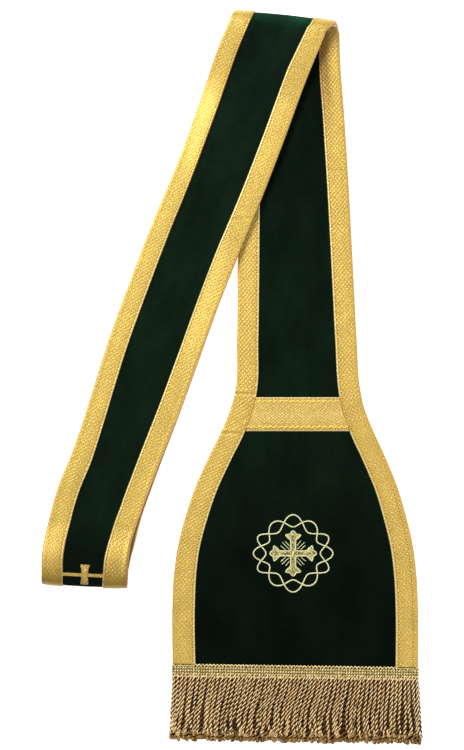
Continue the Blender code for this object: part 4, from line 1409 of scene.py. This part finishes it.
def chain_tree():
    """Slanting chain stitches along each row, uneven in turn and size."""
    tree, given = open_tree("chain_row", ("Spacing", "Length", "Width", "Slant", "Seed"))
    path = stepped_path(tree, given, "Spacing")
    uneven, swell = (
        add_node(
            tree, "FunctionNodeRandomValue", {2: low, 3: high, "Seed": given["Seed"]}, 1,
            data_type="FLOAT",
        )
        for low, high in ((-0.28, 0.28), (0.85, 1.15))
    )
    turn = add_node(tree, "ShaderNodeMath", {0: given["Slant"], 1: uneven}, operation="ADD")
    turned = add_node(tree, "ShaderNodeCombineXYZ", {2: turn})
    rotation = add_node(tree, "FunctionNodeEulerToRotation", {0: turned})
    thread = add_node(tree, "GeometryNodeMeshIcoSphere", {"Radius": 0.5, "Subdivisions": 1})
    size = add_node(
        tree, "ShaderNodeCombineXYZ", {0: given["Length"], 1: given["Width"], 2: given["Width"]}
    )
    size = add_node(tree, "ShaderNodeVectorMath", {0: size, "Scale": swell}, operation="SCALE")
    stitches = add_node(
        tree, "GeometryNodeInstanceOnPoints",
        {"Points": path, "Instance": thread, "Rotation": rotation, "Scale": size},
    )
    return close_tree(tree, given, stitches)


chain_row = chain_tree()
ends = np.array((-hem_half + 0.6, hem_half - 0.6))
row_paths = [
    (below_hem(ends, HEADING_GAP + down, HEADING_FACE - 0.05), False) for down in CHAIN_ROWS
]
grown(
    "heading_chain_rows", chain_row, row_paths,
    {"Spacing": 2.26 * MM, "Length": 2.9 * MM, "Width": 1.45 * MM, "Slant": 0.8, "Seed": 4,
     "Material": crochet},
    leg_velvet,
)

# ---------------------------------------------------------- bullion cords
# Each cord is a gilt strand doubled and twisted back on itself, so it ends in a small closed
# loop. One row hangs from this half's heading. The hidden half's double row lies under it and
# shows as a darker band of tips.
CORDS_ACROSS = 61
# How far below the hem each row starts, and its cords' length and width
CORD_FROM, UNDER_CORD_FROM = 7.0, 12.0
CORD_LENGTH, UNDER_CORD_LENGTH = 52.6, 52.4
CORD_WIDTH = 3.5
CORD_POINTS = 70


def bullion_finish(name, dark, middle, bright, shade, uneven):
    """Gilt viscose over a brown core: bright on each twist's crown, dark where cords press.

    Its bright crowns and its dark flanks and grooves are painted highlight and painted shade.
    `shade` holds the parts of the length between which the painted shade comes in, and its most.
    `uneven` is how much darker some cords are than others.
    """
    finish, tree = new_finish(name)
    lobe, along, tint, up = (
        add_node(tree, "ShaderNodeAttribute", attribute_name=kept, out="Fac")
        for kept in ("lobe", "along", "tint", "up")
    )
    up = add_node(tree, "ShaderNodeMath", {0: up}, operation="ABSOLUTE")
    place = add_node(tree, "ShaderNodeTexCoord", out="Object")
    # Filaments catch the light in specks of about 1 mm
    specks = add_node(tree, "ShaderNodeTexNoise", {"Vector": place, "Scale": 900.0, "Detail": 1.5})
    # Each tone: what draws it, where that starts and is full, its most, and its colour
    colour = add_node(tree, "ShaderNodeRGB").node.outputs[0]
    for value, start, full, most, code in (
        (up, -1.0, -0.99, 1.0, middle),
        # Painted highlight on crowns that face up or down
        (up, 0.48, 0.74, 1.0, bright),
        (specks, 0.50, 0.34, 0.55, middle),
        (tint, 0.45, 1.0, 0.25, middle),
        (tint, 0.35, 0.65, uneven, dark),
        (along, *shade, dark),
        # Painted shade on the flanks and in the groove between the two strands
        (up, 0.48, 0.28, 1.0, dark),
        (lobe, 0.66, 0.50, 1.0, dark),
    ):
        share = add_node(tree, "ShaderNodeMapRange", {0: value, 1: start, 2: full, 4: most})
        colour = add_node(
            tree, "ShaderNodeMix", {0: share, 6: colour, 7: linear(code)}, 2, data_type="RGBA"
        )
    close_finish(tree, {"Base Color": colour, "Roughness": 0.5, "Specular IOR Level": 0.04})
    return finish


bullion = bullion_finish(
    "gilt_viscose_bullion", "#0A0300", "#B46E18", "#FFE6B0", (0.95, 1.0, 0.30), 0.0
)
# The hidden half's cords lie in the shade of the ones above, all but their tips
shaded_bullion = bullion_finish(
    "gilt_viscose_bullion_shaded", "#060200", "#522E0A", "#C29858", (0.93, 0.84, 0.62), 0.38
)


def paired_profile(tree, given, sides):
    """Two round strands side by side, each point's distance from their axis kept as `lobe`."""
    radius = add_node(tree, "ShaderNodeMath", {0: given["Width"], 1: 0.25}, operation="MULTIPLY")
    circle = add_node(tree, "GeometryNodeCurvePrimitiveCircle", {"Resolution": sides, "Radius": radius})
    strands = []
    for way in (1.0, -1.0):
        aside = add_node(tree, "ShaderNodeMath", {0: radius, 1: 0.94 * way}, operation="MULTIPLY")
        aside = add_node(tree, "ShaderNodeCombineXYZ", {0: aside})
        strands.append(
            add_node(tree, "GeometryNodeTransform", {"Geometry": circle, "Translation": aside})
        )
    both = add_node(tree, "GeometryNodeJoinGeometry", {0: strands[0]})
    tree.links.new(strands[1], both.node.inputs[0])
    place = add_node(tree, "GeometryNodeInputPosition")
    reach = add_node(tree, "ShaderNodeVectorMath", {0: place}, 1, operation="LENGTH")
    lobe = add_node(tree, "ShaderNodeMath", {0: reach, 1: given["Width"]}, operation="DIVIDE")
    lobe = add_node(tree, "ShaderNodeMath", {0: lobe, 1: 2.0}, operation="MULTIPLY")
    return add_node(
        tree, "GeometryNodeStoreNamedAttribute", {"Geometry": both, "Name": "lobe", "Value": lobe},
        data_type="FLOAT", domain="POINT",
    )


def bullion_tree():
    """A row of twisted cords hanging from a path, swaying and leaning unevenly."""
    tree, given = open_tree(
        "bullion_row",
        ("Count", "Seed", "Width", "Sides", "Cord Length", "Turns", "Fan", "Lean", "Drop", "Sway",
         "Drift", "Lift"),
    )
    path = add_node(tree, "GeometryNodeMeshToCurve", {"Mesh": given["Geometry"]})
    path = add_node(
        tree, "GeometryNodeResampleCurve", {"Curve": path, "Count": given["Count"]}, mode="COUNT"
    )
    roots = add_node(tree, "GeometryNodeCurveToPoints", {"Curve": path, "Count": given["Count"]})
    side = add_node(tree, "GeometryNodeInputIndex")
    last = add_node(tree, "ShaderNodeMath", {0: given["Count"], 1: 1.0}, operation="SUBTRACT")
    share = add_node(tree, "ShaderNodeMapRange", {0: side, 2: last, 3: -1.0, 4: 1.0})
    lean, roll, stretch, tone = (
        add_node(
            tree, "FunctionNodeRandomValue",
            {2: low, 3: high, "Seed": add_node(
                tree, "ShaderNodeMath", {0: given["Seed"], 1: float(shift)}, operation="ADD")},
            1, data_type="FLOAT",
        )
        for shift, (low, high) in enumerate(((-1.0, 1.0), (0.0, 6.3), (0.96, 1.01), (0.0, 1.0)))
    )
    leaning = add_node(tree, "ShaderNodeMath", {0: lean, 1: given["Lean"]}, operation="MULTIPLY")
    angle = add_node(
        tree, "ShaderNodeMath", {0: share, 1: given["Fan"], 2: leaning}, operation="MULTIPLY_ADD"
    )
    turned = add_node(tree, "ShaderNodeCombineXYZ", {1: roll, 2: angle})
    rotation = add_node(tree, "FunctionNodeEulerToRotation", {0: turned})
    size = add_node(tree, "ShaderNodeCombineXYZ", {0: 1.0, 1: stretch, 2: 1.0})
    place = add_node(tree, "GeometryNodeInputPosition")
    inner = add_node(tree, "ShaderNodeMath", {0: share, 1: share}, operation="MULTIPLY")
    inner = add_node(tree, "ShaderNodeMath", {0: 1.0, 1: inner}, operation="SUBTRACT")
    for kept, value in (("tint", tone), ("inner", inner)):
        roots = add_node(
            tree, "GeometryNodeStoreNamedAttribute", {"Geometry": roots, "Name": kept, "Value": value},
            data_type="FLOAT", domain="POINT",
        )
    roots = add_node(
        tree, "GeometryNodeStoreNamedAttribute", {"Geometry": roots, "Name": "root", "Value": place},
        data_type="FLOAT_VECTOR", domain="POINT",
    )
    back = add_node(tree, "ShaderNodeMath", {0: given["Cord Length"], 1: -1.0}, operation="MULTIPLY")
    tip = add_node(tree, "ShaderNodeCombineXYZ", {1: back})
    line = add_node(tree, "GeometryNodeCurvePrimitiveLine", {"Start": (0, 0, 0), "End": tip})
    line = add_node(
        tree, "GeometryNodeResampleCurve", {"Curve": line, "Count": CORD_POINTS}, mode="COUNT"
    )
    factor = add_node(tree, "GeometryNodeSplineParameter", out="Factor")
    turn = add_node(tree, "ShaderNodeMath", {0: given["Turns"], 1: 2 * math.pi}, operation="MULTIPLY")
    tilt = add_node(tree, "ShaderNodeMath", {0: factor, 1: turn}, operation="MULTIPLY")
    line = add_node(tree, "GeometryNodeSetCurveTilt", {"Curve": line, "Tilt": tilt})
    swell, closing = (
        add_node(
            tree, "ShaderNodeMapRange", {0: factor, 1: start, 2: end, 3: 1.0, 4: to},
            interpolation_type="SMOOTHSTEP",
        )
        for start, end, to in ((0.86, 0.92, 1.15), (0.95, 1.0, 0.45))
    )
    thickness = add_node(tree, "ShaderNodeMath", {0: swell, 1: closing}, operation="MULTIPLY")
    line = add_node(
        tree, "GeometryNodeStoreNamedAttribute", {"Geometry": line, "Name": "along", "Value": factor},
        data_type="FLOAT", domain="POINT",
    )
    cord = add_node(
        tree, "GeometryNodeCurveToMesh",
        {"Curve": line, "Profile Curve": paired_profile(tree, given, given["Sides"]),
         "Scale": thickness, "Fill Caps": True},
    )
    # The closed loop at the tip
    across = add_node(
        tree, "ShaderNodeMath", {0: given["Width"], 1: CORD_WIDTH * MM}, operation="MINIMUM"
    )
    loop, ring = (
        add_node(
            tree, "GeometryNodeCurvePrimitiveCircle",
            {"Resolution": sides,
             "Radius": add_node(tree, "ShaderNodeMath", {0: across, 1: part}, operation="MULTIPLY")},
        )
        for sides, part in ((9, 0.36), (5, 0.29))
    )
    ring = add_node(
        tree, "GeometryNodeStoreNamedAttribute", {"Geometry": ring, "Name": "lobe", "Value": 1.0},
        data_type="FLOAT", domain="POINT",
    )
    loop = add_node(tree, "GeometryNodeCurveToMesh", {"Curve": loop, "Profile Curve": ring})
    loop = add_node(
        tree, "GeometryNodeStoreNamedAttribute", {"Geometry": loop, "Name": "along", "Value": 1.0},
        data_type="FLOAT", domain="POINT",
    )
    loop = add_node(tree, "GeometryNodeTransform", {"Geometry": loop, "Translation": tip})
    whole = add_node(tree, "GeometryNodeJoinGeometry", {0: cord})
    tree.links.new(loop, whole.node.inputs[0])
    row = add_node(
        tree, "GeometryNodeInstanceOnPoints",
        {"Points": roots, "Instance": whole, "Rotation": rotation, "Scale": size},
    )
    row = add_node(tree, "GeometryNodeRealizeInstances", {0: row})
    tone = add_node(tree, "GeometryNodeInputNamedAttribute", {"Name": "tint"}, data_type="FLOAT")
    root = add_node(
        tree, "GeometryNodeInputNamedAttribute", {"Name": "root"}, data_type="FLOAT_VECTOR"
    )
    gone = add_node(tree, "ShaderNodeVectorMath", {0: root, 1: place}, operation="SUBTRACT")
    gone = add_node(tree, "ShaderNodeSeparateXYZ", {0: gone}, 1)
    root_x = add_node(tree, "ShaderNodeSeparateXYZ", {0: root}, 0)
    place_y = add_node(tree, "ShaderNodeSeparateXYZ", {0: place}, 1)
    on_cord = add_node(tree, "ShaderNodeCombineXYZ", {0: root_x, 1: place_y, 2: given["Seed"]})
    down = add_node(
        tree, "ShaderNodeMath", {0: gone, 1: given["Cord Length"]}, operation="DIVIDE", use_clamp=True
    )
    fallen = add_node(
        tree, "ShaderNodeMapRange", {0: down, 1: 0.0, 2: 0.85}, interpolation_type="SMOOTHSTEP"
    )
    fall = add_node(tree, "ShaderNodeMath", {0: fallen, 1: given["Drop"]}, operation="MULTIPLY")
    # Clumps are about 14 mm wide, and smaller crooks 4 mm
    sways = []
    for scale, low, high in (((70.0, 22.0, 0.41), -0.5, 0.5), ((260.0, 70.0, 0.73), -0.9, 0.9)):
        where = add_node(tree, "ShaderNodeVectorMath", {0: on_cord, 1: scale}, operation="MULTIPLY")
        noise = add_node(tree, "ShaderNodeTexNoise", {"Vector": where, "Scale": 1.0, "Detail": 1.0})
        sways.append(add_node(
            tree, "ShaderNodeMapRange", {0: noise, 1: 0.3, 2: 0.7, 3: low, 4: high}
        ))
    hooked = add_node(tree, "ShaderNodeMapRange", {0: down, 1: 0.72, 2: 1.0, 3: 1.0, 4: 2.4})
    sway = add_node(
        tree, "ShaderNodeMath", {0: sways[1], 1: hooked, 2: sways[0]}, operation="MULTIPLY_ADD"
    )
    sway = add_node(tree, "ShaderNodeMath", {0: sway, 1: given["Sway"]}, operation="MULTIPLY")
    sway = add_node(tree, "ShaderNodeMath", {0: sway, 1: down}, operation="MULTIPLY")
    # The cords between the two ends are brushed to the left, and hang straight lower down
    inner = add_node(tree, "GeometryNodeInputNamedAttribute", {"Name": "inner"}, data_type="FLOAT")
    brushed = add_node(tree, "ShaderNodeMapRange", {0: down, 2: 0.8}, interpolation_type="SMOOTHSTEP")
    brushed = add_node(tree, "ShaderNodeMath", {0: brushed, 1: inner}, operation="MULTIPLY")
    brushed = add_node(tree, "ShaderNodeMath", {0: brushed, 1: given["Drift"]}, operation="MULTIPLY")
    sway = add_node(tree, "ShaderNodeMath", {0: sway, 1: brushed}, operation="SUBTRACT")
    # Each cord lies a little over or under the next
    over = add_node(tree, "ShaderNodeMath", {0: tone, 1: given["Width"]}, operation="MULTIPLY")
    over = add_node(tree, "ShaderNodeMath", {0: over, 1: fallen}, operation="MULTIPLY")
    lie = add_node(tree, "ShaderNodeMath", {0: over, 1: given["Lift"]}, operation="MULTIPLY")
    lie = add_node(tree, "ShaderNodeMath", {0: lie, 1: fall}, operation="SUBTRACT")
    move = add_node(tree, "ShaderNodeCombineXYZ", {0: sway, 2: lie})
    row = add_node(tree, "GeometryNodeSetPosition", {"Geometry": row, "Offset": move})
    # How far each point faces up, kept as `up`: the finish paints highlight on crowns and shade on
    # flanks from it
    facing = add_node(tree, "GeometryNodeInputNormal")
    facing = add_node(tree, "ShaderNodeSeparateXYZ", {0: facing}, 2)
    row = add_node(
        tree, "GeometryNodeStoreNamedAttribute", {"Geometry": row, "Name": "up", "Value": facing},
        data_type="FLOAT", domain="POINT",
    )
    return close_tree(tree, given, row)


bullion_row = bullion_tree()
pitch = 2 * hem_half / CORDS_ACROSS
CORDS = {
    "Width": CORD_WIDTH * MM, "Sides": 8, "Turns": 6.3, "Sway": 1.15 * MM, "Drift": 9.0 * MM,
    "Lift": 0.4, "Material": bullion, "Fan": math.radians(3.5), "Lean": math.radians(1.5),
}
front_ends = np.array((-hem_half + pitch / 2, hem_half - pitch / 2))
fringe = grown(
    "bullion_fringe", bullion_row, [(below_hem(front_ends, CORD_FROM, REST_HEIGHT + 1.1), False)],
    {**CORDS, "Count": CORDS_ACROSS, "Seed": 7, "Cord Length": CORD_LENGTH * MM, "Drop": 0.5 * MM},
    leg_velvet,
)
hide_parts("fringe")
back_ends = np.array((-hem_half + pitch, hem_half - pitch))
# The middle row's cords hang between the front ones, and the lowest row's between those
for row_name, height, seed, width, shift, sway in (
    ("under_bullion_fringe", 2.7, 31, 3.8, 0.0, 1.1),
    ("lowest_bullion_fringe", 3.2, 52, 5.2, pitch / 2, 0.1),
):
    grown(
        row_name, bullion_row, [(below_hem(back_ends + shift, UNDER_CORD_FROM, height), False)],
        {**CORDS, "Count": CORDS_ACROSS - 1, "Seed": seed, "Cord Length": UNDER_CORD_LENGTH * MM,
         "Drop": 0.0, "Width": width * MM, "Sides": 6, "Sway": sway * MM, "Drift": 0.0, "Lift": 0.1,
         "Lean": math.radians(0.25), "Material": shaded_bullion},
        under_leg_velvet,
    )

# ---------------------------------------------------------- floor, light and camera
# A white table lit from within, so that it throws back no shadow, under soft studio light from
# above, and a camera that looks straight down.
TABLE_DOWN, TABLE_REACH = 0.5, 4000.0
table_top = flecked_finish(
    "matt_white_table", "#F8F8F8", "#FFFFFF", 3.0,
    {"Roughness": 0.9, "Specular IOR Level": 0.1, "Emission Color": linear("#FFFFFF"),
     "Emission Strength": 0.7},
)
floor = add_mesh(
    "floor",
    [(x * TABLE_REACH, y * TABLE_REACH, -TABLE_DOWN) for x, y in ((-1, -1), (1, -1), (1, 1), (-1, 1))],
    [(0, 1, 2, 3)], (table_top,),
)

world = bpy.data.worlds.new("studio")
bpy.context.scene.world = world
world.use_nodes = True
backdrop = world.node_tree.nodes["Background"].inputs
backdrop["Color"].default_value = linear("#FFFFFF")
backdrop["Strength"].default_value = 0.42
for name, place, power, width in (
    ("key_softbox", (-1.0, 1.1, 1.7), 48.0, 0.8), ("fill_softbox", (1.3, -0.4, 1.6), 12.0, 1.2)
):
    light = bpy.data.lights.new(name, "AREA")
    light.energy, light.size = power, width
    lamp = bpy.data.objects.new(name, light)
    lamp.location = place
    lamp.rotation_euler = (-Vector(place)).to_track_quat("-Z", "Y").to_euler()
    bpy.context.scene.collection.objects.link(lamp)

CAMERA_HEIGHT, FRAME_HEIGHT, SENSOR = 2000.0, 645.0, 36.0
CAMERA_PLACE = np.array((1.06, 1.89, CAMERA_HEIGHT))
camera = bpy.data.objects.new("camera", bpy.data.cameras.new("camera"))
camera.data.sensor_width = SENSOR
camera.data.lens = SENSOR * CAMERA_HEIGHT / FRAME_HEIGHT
camera.location = CAMERA_PLACE * MM
camera.rotation_euler = (0.0, 0.0, 0.0)
bpy.context.scene.collection.objects.link(camera)
bpy.context.scene.camera = camera
bpy.context.scene.view_settings.view_transform = "Standard"
